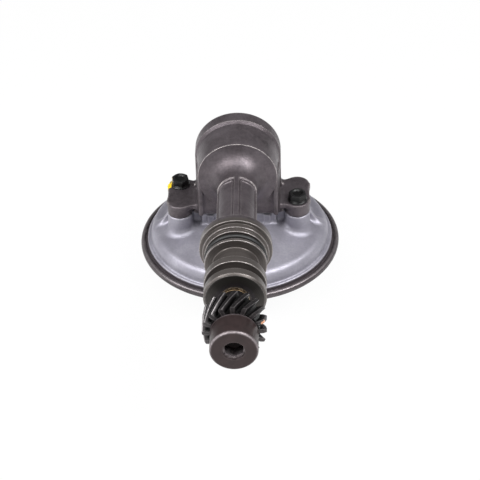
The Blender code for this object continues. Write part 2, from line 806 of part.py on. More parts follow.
def make_rear_cap(material):
    """Dished plug that closes the rear of the crank room."""
    low = crank_room_rear + seat_gap
    high = low + cap_thickness
    outer = cap_bore_radius - seat_gap
    points = [(0, low + cap_dish_depth), (cap_dish_radius, low + cap_dish_depth),
              (cap_dish_radius + cap_dish_depth, low), (outer, low), (outer, high),
              (cap_dish_radius + 2 * cap_dish_depth, high),
              (cap_dish_radius + cap_dish_depth, high + cap_dish_depth), (0, high + cap_dish_depth)]
    return turned("rear_cap", points, "Y", (0, 0, shaft_height), material)


def make_shaft(material, axle):
    """Stepped shaft with a groove for its retaining ring and a cross hole for the gear pin."""
    clip_low = eccentric_half_width + seat_gap
    clip_high = clip_low + clip_thickness + 2 * seat_gap
    shoulder = hub_rear + seat_gap
    points = [(0, shaft_front), (nose_radius - land_edge, shaft_front),
              (nose_radius, shaft_front + land_edge),
              (nose_radius, shoulder), (journal_radius, shoulder), (journal_radius, journal_rear),
              (tail_radius, journal_rear), (tail_radius, clip_low),
              (tail_radius - clip_groove_depth, clip_low), (tail_radius - clip_groove_depth, clip_high),
              (tail_radius, clip_high), (tail_radius, tail_end - land_edge),
              (tail_radius - land_edge, tail_end),
              (0, tail_end)]
    shaft = turned("drive_shaft", points, "Y", (0, 0, 0), material, core_steps, axle)
    pin_along = (hub_rear + gear_rear) / 2
    reach = journal_radius + overrun
    return cut(shaft, disc("shaft_pin_cut", pin_radius + seat_gap, -reach, reach, "X",
                           (0, pin_along, 0), parent=axle))


def make_eccentric(material, axle):
    """Round cam whose centre lies one crank throw below the shaft axis."""
    half = eccentric_half_width
    points = [(0, -half), (eccentric_radius, -half), (eccentric_radius, half), (0, half)]
    cam = turned("eccentric", points, "Y", (0, 0, -crank_throw), material, core_steps, axle)
    reach = half + overrun
    return cut(cam, disc("eccentric_bore_cut", tail_radius + seat_gap, -reach, reach, "Y", (0, 0, 0),
                         core_steps, parent=axle))


def make_retaining_ring(material, axle):
    """Open ring in the groove behind the eccentric."""
    low = eccentric_half_width + 2 * seat_gap
    ring = sleeve("retaining_ring", tail_radius - clip_groove_depth + seat_gap, clip_radius, low,
                  low + clip_thickness, "Y", (0, 0, 0), material, parent=axle)
    gap = clip_radius * clip_gap_share
    return cut(ring, extruded("ring_gap_cut", box_outline(-gap, gap, 0, clip_radius + overrun), low - overrun,
                              low + clip_thickness + overrun, "Y", parent=axle))


def involute(angle):
    return math.tan(angle) - angle


def tooth_half_angle(radius, pitch_radius, pressure):
    """Half of a tooth's angle at a radius, for involute flanks."""
    base = pitch_radius * math.cos(pressure)
    here = math.acos(min(1.0, base / radius))
    return math.pi / 2 / gear_teeth + involute(pressure) - involute(here)


def gear_outline():
    """Angles and radii of one transverse section, tooth after tooth, measured from straight up."""
    crown = 2 * gear_addendum_share * math.cos(gear_helix)
    pitch_radius = gear_tip_radius * gear_teeth / (gear_teeth + crown)
    module = 2 * pitch_radius * math.cos(gear_helix) / gear_teeth
    pressure = math.atan(math.tan(gear_pressure) / math.cos(gear_helix))
    root = pitch_radius - gear_dedendum_share * module
    low = max(root + module / 4, pitch_radius * math.cos(pressure))
    flank = [low + (gear_tip_radius - low) * k / (gear_flank_steps - 1) for k in range(gear_flank_steps)]
    side = [(tooth_half_angle(r, pitch_radius, pressure), r) for r in flank]
    root_angle = (side[0][0] + math.pi / gear_teeth) / 2
    half_tooth = [(root_angle, root)] + side
    points = []
    for tooth in range(gear_teeth):
        middle = gear_first_tooth + 2 * math.pi * tooth / gear_teeth
        points += [(middle - a, r) for a, r in half_tooth]
        points += [(middle + a, r) for a, r in reversed(half_tooth)]
    return points, pitch_radius


def make_gear(material, axle):
    """Right-hand helical gear with a hub behind it. Each section turns a little more than the one before."""
    points, pitch_radius = gear_outline()
    width = gear_rear - gear_front
    twist = width * math.tan(gear_helix) / pitch_radius
    count = len(points)
    verts = []
    for k in range(gear_slices + 1):
        along = gear_front + width * k / gear_slices
        turn = twist * k / gear_slices
        verts += [(r * math.sin(a + turn), along, r * math.cos(a + turn)) for a, r in points]
    faces = [tuple(range(count)), tuple(range(gear_slices * count, (gear_slices + 1) * count))]
    for k in range(gear_slices):
        base = k * count
        faces += [(base + i, base + (i + 1) % count, base + count + (i + 1) % count, base + count + i)
                  for i in range(count)]
    gear = placed("drive_gear", verts, faces, (0, 0, 0), material, axle)
    hub_points = rounded([(0, gear_front + overrun, 0), (gear_hub_radius, gear_front + overrun, 0),
                          (gear_hub_radius, hub_rear, land_edge), (0, hub_rear, 0)], closed=False)
    join(gear, turned("gear_hub", hub_points, "Y", (0, 0, 0), steps=stem_steps, parent=axle))
    pin_along = (hub_rear + gear_rear) / 2
    reach = gear_hub_radius + overrun
    return cut(gear, disc("gear_bore_cut", nose_radius + seat_gap, gear_front - overrun, hub_rear + overrun,
                          "Y",
                          (0, 0, 0), core_steps, parent=axle),
               disc("gear_pin_cut", pin_radius + seat_gap, -reach, reach, "X", (0, pin_along, 0),
                    parent=axle))


def make_gear_pin(material, axle):
    half = gear_hub_radius - land_edge
    return disc("gear_pin", pin_radius, -half, half, "X", (0, (hub_rear + gear_rear) / 2, 0), small_steps,
                material, axle)


def make_drive_collar(material, axle):
    """End collar on the shaft, with a hexagon socket in its face."""
    low = drive_end
    high = gear_front - seat_gap
    corners = [(0, low), (drive_radius - drive_chamfer, low), (drive_radius, low + drive_chamfer),
               (drive_radius, high), (0, high)]
    collar = turned("drive_collar", corners, "Y", (0, 0, 0), material, parent=axle)
    socket_end = drive_end + socket_depth
    mouth = [(0, low - overrun), (socket_mouth_radius, low - overrun), (socket_mouth_radius, low),
             (socket_across_flats / 2 - seat_gap, low + socket_mouth_depth), (0, low + socket_mouth_depth)]
    return cut(
        collar,
        disc("collar_bore_cut", nose_radius + seat_gap, shaft_front - seat_gap, high + overrun, "Y",
             (0, 0, 0),
             core_steps, parent=axle),
        extruded("socket_cut", hexagon(socket_across_flats, math.pi / 2), low - overrun,
                 socket_end + seat_gap, "Y",
                 parent=axle),
        turned("socket_mouth_cut", mouth, "Y", (0, 0, 0), steps=core_steps, parent=axle),
    )


def make_rod(material, crank):
    """Connecting rod: big eye, tapered shank with a recess in each face, round foot and stud."""
    half = rod_half_width
    rod = sleeve("connecting_rod", eye_inner, eye_outer, -half, half, "Y", (0, 0, 0), material, parent=crank)
    foot_low = plate_level + diaphragm_thickness / 2 + 2 * seat_gap + plate_thickness - rest_crank_height
    foot_high = foot_low + rod_foot_thickness
    shank_top = -(eye_inner + eye_outer) / 2
    shank = extruded("rod_shank", [(-rod_shank_foot_half, foot_high - rod_foot_round),
                                   (rod_shank_foot_half, foot_high - rod_foot_round),
                                   (rod_shank_top_half, shank_top), (-rod_shank_top_half, shank_top)],
                     -half + rod_foot_round / 2, half - rod_foot_round / 2, "Y", parent=crank)
    plate_face = plate_level - diaphragm_thickness / 2 - 2 * seat_gap - plate_thickness
    nut_low = plate_face - seat_gap - nut_height - rest_crank_height
    foot = rounded([(0, nut_low - stud_beyond_nut, 0), (stud_radius, nut_low - stud_beyond_nut, land_edge),
                    (stud_radius, foot_low, 0), (rod_foot_radius, foot_low, rod_foot_round),
                    (rod_foot_radius, foot_high, rod_foot_round), (0, foot_high, 0)], closed=False)
    join(rod, shank, turned("rod_foot", foot, "Z", (0, 0, 0), steps=small_steps, parent=crank))
    top = -eye_outer - rod_recess_margin
    low = foot_high + rod_recess_margin
    wide = rod_shank_top_half - rod_recess_margin
    narrow = rod_shank_foot_half - rod_recess_margin
    recess = rounded([(-narrow, low, narrow / 2), (narrow, low, narrow / 2), (wide, top, wide / 2),
                      (-wide, top, wide / 2)])
    for side in (-1, 1):
        face = side * (half - rod_foot_round / 2)
        first, last = sorted((face - side * rod_recess_depth, face + side * overrun))
        cut(rod, extruded(f"rod_recess_cut_{side}", recess, first, last, "Y", parent=crank))
    return rod


def make_plates(material, crank):
    """Two clamping plates whose lips turn away from the diaphragm."""
    middle = plate_level - rest_crank_height
    hole = stud_radius + seat_gap
    for name, side in (("upper_plate", 1), ("lower_plate", -1)):
        near = middle + side * (diaphragm_thickness / 2 + seat_gap)
        far = near + side * plate_thickness
        lip = far + side * plate_lip
        corners = [(hole, near, 0), (plate_radius, near, plate_lip),
                   (plate_radius + plate_thickness / 2, lip, 0),
                   (plate_radius - plate_thickness / 2, lip, 0), (plate_radius - plate_thickness, far, 0),
                   (hole, far, 0)]
        turned(name, rounded(corners), "Z", (0, 0, 0), material, core_steps, crank)


def make_nut(material, crank):
    plate_face = plate_level - diaphragm_thickness / 2 - 2 * seat_gap - plate_thickness
    top = plate_face - seat_gap - rest_crank_height
    nut = extruded("clamp_nut", hexagon(nut_across_flats, 0), top - nut_height, top, "Z", material=material,
                   parent=crank)
    return cut(nut, disc("nut_bore_cut", stud_radius + seat_gap, top - nut_height - overrun, top + overrun,
                         "Z",
                         (0, 0, 0), parent=crank))


def make_diaphragm(material):
    """Rubber disc clamped at its rim, with one upward roll between the rim and the plates."""
    upper = []
    lower = []
    half = diaphragm_thickness / 2
    for k in range(roll_steps + 1):
        share = k / roll_steps
        radius = roll_inner_radius + (roll_outer_radius - roll_inner_radius) * share
        swing = (1 - math.cos(math.pi * share)) / 2
        roll = roll_rise * math.sin(math.pi * share) ** 2
        level = plate_level + (diaphragm_level - plate_level) * swing + roll
        upper.append((radius, level + half))
        lower.append((radius, level - half))
    hole = stud_radius + seat_gap
    rim = clamp_radius - seat_gap
    points = [(hole, plate_level + half)] + upper + [(rim, diaphragm_level + half),
                                                     (rim, diaphragm_level - half)]
    points += lower[::-1] + [(hole, plate_level - half)]
    return turned("diaphragm", points, "Z", (0, 0, 0), material, stem_steps)


def make_spring(name, place, low, high, material):
    """Open coil with flattened reach: the wire's centre runs up a helix between the two seats."""
    steps = round(spring_turns * spring_steps_per_turn)
    verts = []
    for k in range(steps + 1):
        share = k / steps
        angle = 2 * math.pi * spring_turns * share
        level = low + spring_wire_radius + (high - low - 2 * spring_wire_radius) * share
        for j in range(wire_sides):
            around = 2 * math.pi * j / wire_sides
            radius = spring_radius + spring_wire_radius * math.cos(around)
            verts.append((radius * math.cos(angle), radius * math.sin(angle),
                          level + spring_wire_radius * math.sin(around)))
    faces = [tuple(range(wire_sides)), tuple(range(steps * wire_sides, (steps + 1) * wire_sides))]
    for k in range(steps):
        base = k * wire_sides
        faces += [(base + j, base + (j + 1) % wire_sides, base + wire_sides + (j + 1) % wire_sides,
                   base + wire_sides + j) for j in range(wire_sides)]
    return placed(name, verts, faces, place, material)


def make_valve_disc(name, low, axle, material):
    """Thin disc with a shallow dish in its upper side."""
    high = low + valve_disc_thickness
    points = [(0, low), (valve_disc_radius, low), (valve_disc_radius, high), (valve_port_radius, high),
              (valve_port_radius - valve_disc_dish, high - valve_disc_dish), (0, high - valve_disc_dish)]
    return turned(name, points, "Z", (0, 0, 0), material, small_steps, axle)


def make_inlet_valve(rubber, steel, plate_steel):
    """Disc that lifts off the port, under a spring held by a windowed cage."""
    low = inlet_seat_level + seat_gap
    disc_top = low + valve_disc_thickness
    place = (-valve_across, valve_along, 0)
    axle = empty("inlet_valve_axis", (-valve_across, valve_along, low))
    make_valve_disc("inlet_valve_disc", 0, axle, rubber)
    outer = inlet_pocket_radius - seat_gap
    inner = valve_disc_radius + 2 * seat_gap
    top = low + cage_height
    roof = top - cage_wall
    points = [(inner, low), (outer, low), (outer, low + cage_flange_thickness),
              (inner + cage_wall, low + cage_flange_thickness), (inner + cage_wall, top), (0, top), (0, roof),
              (inner, roof)]
    chain = points[6:] + points[:6]
    cage = turned("inlet_valve_cage", chain, "Z", place, plate_steel, small_steps)
    reach = outer + overrun
    window_low = low + cage_flange_thickness + seat_gap
    width = cage_window_half_width
    cut(
        cage,
        extruded("cage_window_cut_across", box_outline(-width, width, window_low, roof - seat_gap), -reach,
                 reach,
                 "Y", place),
        extruded("cage_window_cut_along", box_outline(-width, width, window_low, roof - seat_gap), -reach,
                 reach,
                 "X", place),
        disc("cage_roof_cut", width, roof - overrun, top + overrun, "Z", place),
    )
    make_spring("inlet_valve_spring", place, disc_top + seat_gap, roof - seat_gap, steel)


def make_outlet_valve(rubber, steel, seat_metal):
    """Disc held up against a pressed seat by the spring below it."""
    place = (valve_across, valve_along, 0)
    seat_low = outlet_ledge_level + seat_gap
    sleeve("outlet_valve_seat", valve_port_radius, outlet_pocket_radius - seat_gap, seat_low,
           valve_block_top, "Z", place, seat_metal, small_steps)
    disc_low = seat_low - seat_gap - valve_disc_thickness
    axle = empty("outlet_valve_axis", (valve_across, valve_along, disc_low))
    make_valve_disc("outlet_valve_disc", 0, axle, rubber)
    make_spring("outlet_valve_spring", place, outlet_room_floor + seat_gap, disc_low - seat_gap, steel)


def make_nozzle(material):
    """Hose nozzle pressed into its boss: tube, stop collar and barbs."""
    collar_low = nozzle_boss_rear + seat_gap
    collar_high = collar_low + nozzle_collar_length
    points = [(nozzle_bore_radius, nozzle_seat_front + seat_gap),
              (nozzle_tube_radius, nozzle_seat_front + seat_gap),
              (nozzle_tube_radius, collar_low), (nozzle_collar_radius, collar_low),
              (nozzle_collar_radius, collar_high), (nozzle_tube_radius, collar_high)]
    for k in range(nozzle_barbs, 0, -1):
        crest = nozzle_end - (k - nozzle_crest_share) * nozzle_barb_pitch
        points += [(nozzle_tube_radius, crest), (nozzle_barb_radius, crest),
                   (nozzle_tube_radius, crest + nozzle_barb_pitch / 2)]
    points += [(nozzle_tube_radius, nozzle_end - land_edge), (nozzle_tube_radius - land_edge, nozzle_end),
               (nozzle_bore_radius, nozzle_end)]
    return turned("inlet_nozzle", points, "Y", (-valve_across, 0, nozzle_level), material, small_steps)


def build():
    clear_scene()
    casting = finish("dark_casting", (0.105, 0.098, 0.096), 0.55, 0.52)
    light_casting = finish("light_casting", (0.42, 0.42, 0.46), 0.6, 0.42)
    dark_steel = finish("dark_steel", (0.09, 0.085, 0.083), 0.8, 0.4)
    plain_steel = finish("plain_steel", (0.42, 0.41, 0.40), 1.0, 0.32)
    brown_steel = finish("brown_steel", (0.16, 0.135, 0.13), 0.75, 0.45)
    black_steel = finish("black_steel", (0.012, 0.012, 0.013), 0.3, 0.42)
    bronze = finish("bronze", (0.52, 0.34, 0.18), 1.0, 0.35)
    rubber = finish("black_rubber", (0.012, 0.013, 0.013), 0.0, 0.6)
    fibre = finish("gasket_fibre", (0.10, 0.10, 0.11), 0.0, 0.8)

    make_housing(casting)
    make_light_cover(light_casting)
    make_outer_cover(casting)
    make_gasket(fibre)
    for side, across, along in bolted_lobes:
        make_bolt(side, across, along, black_steel)
    make_o_ring(rubber)
    make_bushes(bronze)
    make_rear_cap(plain_steel)
    make_nozzle(plain_steel)
    make_inlet_valve(rubber, plain_steel, plain_steel)
    make_outlet_valve(rubber, plain_steel, bronze)
    make_diaphragm(rubber)
    washer_rear = third_land_front - seat_gap
    sleeve("thrust_washer", journal_radius + seat_gap, washer_radius, washer_rear - washer_thickness,
           washer_rear,
           "Y", (0, 0, shaft_height), bronze)

    axle = empty("shaft_axis", (0, 0, shaft_height))
    make_shaft(plain_steel, axle)
    make_eccentric(plain_steel, axle)
    make_retaining_ring(plain_steel, axle)
    make_gear(dark_steel, axle)
    make_gear_pin(plain_steel, axle)
    make_drive_collar(brown_steel, axle)

    crank = empty("rod_axis", (0, 0, -crank_throw), axle)
    sleeve("rod_bearing", bearing_inner, bearing_inner + bearing_wall, -bearing_half_width,
           bearing_half_width, "Y",
           (0, 0, 0), plain_steel, parent=crank)
    make_rod(light_casting, crank)
    make_plates(plain_steel, crank)
    make_nut(plain_steel, crank)


build()
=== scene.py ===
import math

import bmesh
import bpy
import numpy as np
from mathutils import Matrix, Vector


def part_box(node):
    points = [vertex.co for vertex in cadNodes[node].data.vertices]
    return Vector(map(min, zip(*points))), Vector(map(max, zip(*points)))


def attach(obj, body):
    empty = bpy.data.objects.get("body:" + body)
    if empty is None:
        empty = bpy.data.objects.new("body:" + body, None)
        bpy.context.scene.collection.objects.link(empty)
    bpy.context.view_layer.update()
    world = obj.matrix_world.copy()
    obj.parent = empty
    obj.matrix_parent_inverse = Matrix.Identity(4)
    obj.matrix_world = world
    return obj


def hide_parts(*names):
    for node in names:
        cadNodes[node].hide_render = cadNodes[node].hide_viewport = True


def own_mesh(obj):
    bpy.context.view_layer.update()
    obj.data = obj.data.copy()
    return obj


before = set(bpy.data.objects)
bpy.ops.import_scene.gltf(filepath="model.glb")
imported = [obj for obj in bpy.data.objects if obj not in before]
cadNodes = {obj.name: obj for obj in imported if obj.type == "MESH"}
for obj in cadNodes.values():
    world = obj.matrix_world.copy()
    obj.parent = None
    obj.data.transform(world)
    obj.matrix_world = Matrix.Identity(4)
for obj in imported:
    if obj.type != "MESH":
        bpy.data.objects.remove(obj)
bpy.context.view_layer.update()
mm = 0.001  # shapes below are worked out in millimetres, meshes are in metres

axleHeight = 81.6  # shaft axis above the rest face
pastMiddle = -30.0  # boxes that are mirrored across the middle plane start on its other side

print("frame loaded:", len(cadNodes), "nodes")


# Meshes

def addObject(name, data):
    item = bpy.data.objects.new(name, data)
    bpy.context.scene.collection.objects.link(item)
    return item


# Makes a mesh object at the origin from points in millimetres and faces. Marks holds per-point numbers, such as
# how worn or how finely turned the surface is there, which the materials read; on some pieces the wear mark
# also carries painted highlights, and the darkened and hollow-shade marks carry painted shade.
def makePiece(name, points, faces, material, body, replaced=(), marks=None, sharpAngle=38.0):
    mesh = bpy.data.meshes.new(name)
    mesh.from_pydata((points * mm).tolist(), [], faces)
    work = bmesh.new()
    work.from_mesh(mesh)
    bmesh.ops.recalc_face_normals(work, faces=work.faces)
    work.to_mesh(mesh)
    work.free()
    mesh.shade_smooth()
    mesh.set_sharp_from_angle(angle=math.radians(sharpAngle))
    for key, values in (marks or {}).items():
        mesh.attributes.new(key, "FLOAT", "POINT").data.foreach_set("value", values.astype(np.float32).ravel())
    mesh.materials.append(material)
    piece = addObject(name, mesh)
    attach(piece, body)
    if replaced:
        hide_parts(*replaced)
    print("piece", name, len(faces), "faces")
    return piece


# Faces of a grid of rows by columns whose columns close on themselves; its rows may close too.
def gridFaces(rows, columns, closedRows):
    i = np.arange(rows if closedRows else rows - 1)[:, None]
    j = np.arange(columns)[None, :]
    nextRow = (i + 1) % rows
    nextColumn = (j + 1) % columns
    corners = [i * columns + j, i * columns + nextColumn, nextRow * columns + nextColumn, nextRow * columns + j]
    return np.stack(corners, axis=-1).reshape(-1, 4).tolist()


# Faces of a tube: the grid between its rings and one flat face over each end.
def tubeFaces(rings, steps):
    ends = [list(range(steps))[::-1], list(range((rings - 1) * steps, rings * steps))]
    return gridFaces(rings, steps, False) + ends


# Rings given as (radius, place, wear), each a number or one value per step, as three tables of ring by step.
def ringTables(rings, steps):
    return [np.stack([ring[n] * np.ones(steps) for ring in rings]) for n in range(3)]


# Angles of even steps round a full turn.
def fullTurn(steps):
    return 2 * np.pi * np.arange(steps) / steps


# Points at a radius and an angle from straight up, round a line along Y.
def aroundLine(radius, angle, along):
    return np.stack([radius * np.sin(angle), along, radius * np.cos(angle)], axis=-1).reshape(-1, 3)


# Outline through corners (u, v, radius): each corner becomes an arc tangent to its two sides.
def roundCorners(corners, closed=True, arcSteps=5):
    points = []
    count = len(corners)
    for i, (u, v, radius) in enumerate(corners):
        here = np.array([u, v], float)
        if radius <= 0 or (not closed and i in (0, count - 1)):
            points.append(here)
            continue
        before = np.array(corners[i - 1][:2]) - here
        after = np.array(corners[(i + 1) % count][:2]) - here
        lengths = np.linalg.norm(before), np.linalg.norm(after)
        before, after = before / lengths[0], after / lengths[1]
        half = math.acos(np.clip(before @ after, -1, 1)) / 2
        reach = min(radius / math.tan(half), lengths[0] * 0.49, lengths[1] * 0.49)
        middle = before + after
        centre = here + middle / np.linalg.norm(middle) * reach / math.cos(half)
        first, last = here + before * reach - centre, here + after * reach - centre
        start = math.atan2(first[1], first[0])
        sweep = (math.atan2(last[1], last[0]) - start + math.pi) % (2 * math.pi) - math.pi
        angles = start + sweep * np.linspace(0, 1, arcSteps + 1)
        size = np.linalg.norm(first)
        points += list(centre + size * np.stack([np.cos(angles), np.sin(angles)], axis=1))
    return np.array(points)


# Puts points at most a step apart on each side of an outline; each side may have its own step.
def finer(points, step, closed):
    ends = np.roll(points, -1, axis=0) if closed else points[1:]
    starts = points if closed else points[:-1]
    parts = []
    for a, b, reach in zip(starts, ends, np.broadcast_to(step, len(points))):
        count = max(1, math.ceil(np.linalg.norm(b - a) / reach))
        parts.append(a + (b - a) * np.arange(count)[:, None] / count)
    if not closed:
        parts.append(points[-1:])
    return np.concatenate(parts)


# How strongly an outline bends outwards at each point, from 0 to 1: the turn between its two sides divided by
# their mean length, times the radius at which an edge counts as fully worn.
def outlineWear(points, wornRadius=0.55):
    back = points - np.roll(points, 1, axis=0)
    ahead = np.roll(points, -1, axis=0) - points
    turn = np.arctan2(back[:, 0] * ahead[:, 1] - back[:, 1] * ahead[:, 0], (back * ahead).sum(1))
    length = (np.linalg.norm(back, axis=1) + np.linalg.norm(ahead, axis=1)) / 2
    area = (points[:, 0] * np.roll(points[:, 1], -1) - points[:, 1] * np.roll(points[:, 0], -1)).sum()
    bend = np.sign(area) * turn / np.maximum(length, 1e-6)
    return np.clip(bend * wornRadius, 0, 1)


# Surface of revolution about a line along Y: the outline's radius and place along it, carried round by an
# angle. The radius may be changed by a function of angle, place and radius. A chain that starts and ends on
# the line gets poles there.
def turnedShape(outline, steps, centre, radiusChange=None):
    capped = outline[0, 0] < 1e-9
    rings = outline[1:-1] if capped else outline
    angle = fullTurn(steps)
    radius = rings[:, :1] + np.zeros(steps)
    if radiusChange is not None:
        radius = radius + radiusChange(angle[None, :], rings[:, 1:2], rings[:, :1])
    points = aroundLine(radius, angle, rings[:, 1:2] + np.zeros(steps))
    faces = gridFaces(len(rings), steps, not capped)
    if capped:
        points = np.concatenate([points, aroundLine(np.zeros(2), 0, outline[[0, -1], 1])])
        k = np.arange(steps)
        first = np.stack([np.full(steps, len(points) - 2), (k + 1) % steps, k], axis=1)
        last = (len(rings) - 1) * steps
        second = np.stack([np.full(steps, len(points) - 1), last + k, last + (k + 1) % steps], axis=1)
        faces += first.tolist() + second.tolist()
    return points + np.array(centre), faces


# A mark for each point of a turned shape, from one number for each ring.
def ringMarks(values, steps, capped):
    if not capped:
        return np.repeat(values, steps)
    return np.concatenate([np.repeat(values[1:-1], steps), values[[0, -1]]])


# Solids given by their distance

# Signed distance to a closed outline in the plane: the smallest distance to a side, negative inside, where
# a ray crosses the sides an odd number of times.
def outlineDistance(u, v, outline):
    best = np.full(u.shape, 1e9)
    inside = np.zeros(u.shape, bool)
    for a, b in zip(outline, np.roll(outline, -1, axis=0)):
        side = b - a
        t = np.clip(((u - a[0]) * side[0] + (v - a[1]) * side[1]) / max(side @ side, 1e-12), 0, 1)
        best = np.minimum(best, np.hypot(u - a[0] - t * side[0], v - a[1] - t * side[1]))
        if side[1] != 0:
            crosses = (a[1] > v) != (b[1] > v)
            inside ^= crosses & (u < a[0] + (v - a[1]) / side[1] * side[0])
    return np.where(inside, -best, best)


# Distance to a turned solid, as a table over radius and height that is read between its cells.
class TurnedField:
    def __init__(self, outline, cell=0.25, margin=6.0):
        self.low = outline.min(0) - margin
        self.low[0] = 0.0
        self.cell = cell
        counts = np.ceil((outline.max(0) + margin - self.low) / cell).astype(int) + 2
        u = self.low[0] + cell * np.arange(counts[0])[:, None] + np.zeros(counts[1])
        v = self.low[1] + cell * np.arange(counts[1])[None, :] + np.zeros((counts[0], 1))
        self.table = outlineDistance(u, v, outline)

    def __call__(self, radius, height):
        a = np.clip((radius - self.low[0]) / self.cell, 0, self.table.shape[0] - 1.001)
        b = np.clip((height - self.low[1]) / self.cell, 0, self.table.shape[1] - 1.001)
        i, j = a.astype(int), b.astype(int)
        s, t = a - i, b - j
        low = self.table[i, j] * (1 - t) + self.table[i, j + 1] * t
        high = self.table[i + 1, j] * (1 - t) + self.table[i + 1, j + 1] * t
        return low * (1 - s) + high * s


# Joins two solids with a fillet of about the given size; cutting is joining turned inside out.
def blendJoin(a, b, size):
    share = np.clip(0.5 + 0.5 * (b - a) / size, 0, 1)
    return b * (1 - share) + a * share - size * share * (1 - share)


def blendCut(a, tool, size):
    return -blendJoin(-a, tool, size)


# Joins two solids with a fillet that is a true arc of the given radius where they meet at a right angle.
def arcJoin(a, b, radius):
    return np.maximum(radius, np.minimum(a, b)) - np.hypot(np.maximum(radius - a, 0), np.maximum(radius - b, 0))


# Keeps what lies inside both, with the shared edge rounded by a radius.
def roundedBoth(a, b, radius):
    corner = np.hypot(np.maximum(a + radius, 0), np.maximum(b + radius, 0))
    return np.minimum(np.maximum(a + radius, b + radius), 0) + corner - radius


# How far a value lies past the nearer of two limits, negative between them.
def slab(value, low, high):
    return abs(value - (low + high) / 2) - (high - low) / 2


# Box between two corners with all its edges rounded.
def boxField(x, y, z, low, high, radius):
    sides = [slab(p, a, b) + radius for p, a, b in zip((x, y, z), low, high)]
    outside = np.sqrt(sum(np.maximum(side, 0) ** 2 for side in sides))
    return outside + np.minimum(np.maximum(np.maximum(sides[0], sides[1]), sides[2]), 0) - radius


# Round bar from low to high along a line, given the distance from that line.
def barField(distance, along, radius, low, high, edge):
    return roundedBoth(distance - radius, slab(along, low, high), edge)


# Surface of a solid: every cell of a grid that the solid's surface passes through gets one point, four such
# cells round a crossed grid edge make a face, and the points are then moved onto the surface along its
# slope.
def solidShape(field, low, high, step):
    axes = [np.arange(a, b + step, step) for a, b in zip(low, high)]
    x, y, z = np.meshgrid(*axes, indexing="ij")
    inside = field(x, y, z) < 0
    counts = [len(axis) - 1 for axis in axes]
    total = np.zeros(counts, int)
    for i in (0, 1):
        for j in (0, 1):
            for k in (0, 1):
                total += inside[i:i + counts[0], j:j + counts[1], k:k + counts[2]]
    crossed = (total > 0) & (total < 8)
    number = np.full(counts, -1)
    number[crossed] = np.arange(crossed.sum())
    cells = np.argwhere(crossed)
    points = np.stack([axes[n][0] + (cells[:, n] + 0.5) * step for n in range(3)], axis=1)
    middle = points.copy()
    reach = 0.02
    for _ in range(5):
        here = field(*points.T)
        slope = np.stack([(field(*(points + shift).T) - field(*(points - shift).T)) / (2 * reach)
                          for shift in np.eye(3) * reach], axis=1)
        points -= slope * (here / np.maximum((slope ** 2).sum(1), 0.2))[:, None]
        points = middle + np.clip(points - middle, -0.75 * step, 0.75 * step)
    faces = []
    for n in range(3):
        first = np.moveaxis(inside, n, 0)[:-1]
        second = np.moveaxis(inside, n, 0)[1:]
        edges = np.argwhere(first != second)
        grid = np.moveaxis(number, n, 0)
        limits = np.array(grid.shape)
        keep = (edges[:, 1] > 0) & (edges[:, 2] > 0) & (edges[:, 1] < limits[1]) & (edges[:, 2] < limits[2])
        i, j, k = edges[keep].T
        quads = np.stack([grid[i, j - 1, k - 1], grid[i, j, k - 1], grid[i, j, k], grid[i, j - 1, k]], axis=1)
        faces.append(quads[(quads >= 0).all(1)])
    return points, np.concatenate(faces).tolist()


# How sharply a solid's surface bends outwards at its points: the mean of six nearby distances, which is above
# zero past an edge, scaled so that an edge of small radius counts as fully worn.
def solidWear(field, points, reach=0.9, wornShare=0.16):
    total = sum(field(*(points + shift).T) + field(*(points - shift).T) for shift in np.eye(3) * reach)
    return np.clip(total / 6 / (reach * wornShare), 0, 1)


# Materials

# sRGB hex colour, such as "8a8a92", as linear red, green, blue and alpha.
def linearColour(text):
    values = np.array([int(text[i:i + 2], 16) for i in (0, 2, 4)]) / 255
    linear = np.where(values <= 0.04045, values / 12.92, ((values + 0.055) / 1.055) ** 2.4)
    return (*linear.tolist(), 1.0)


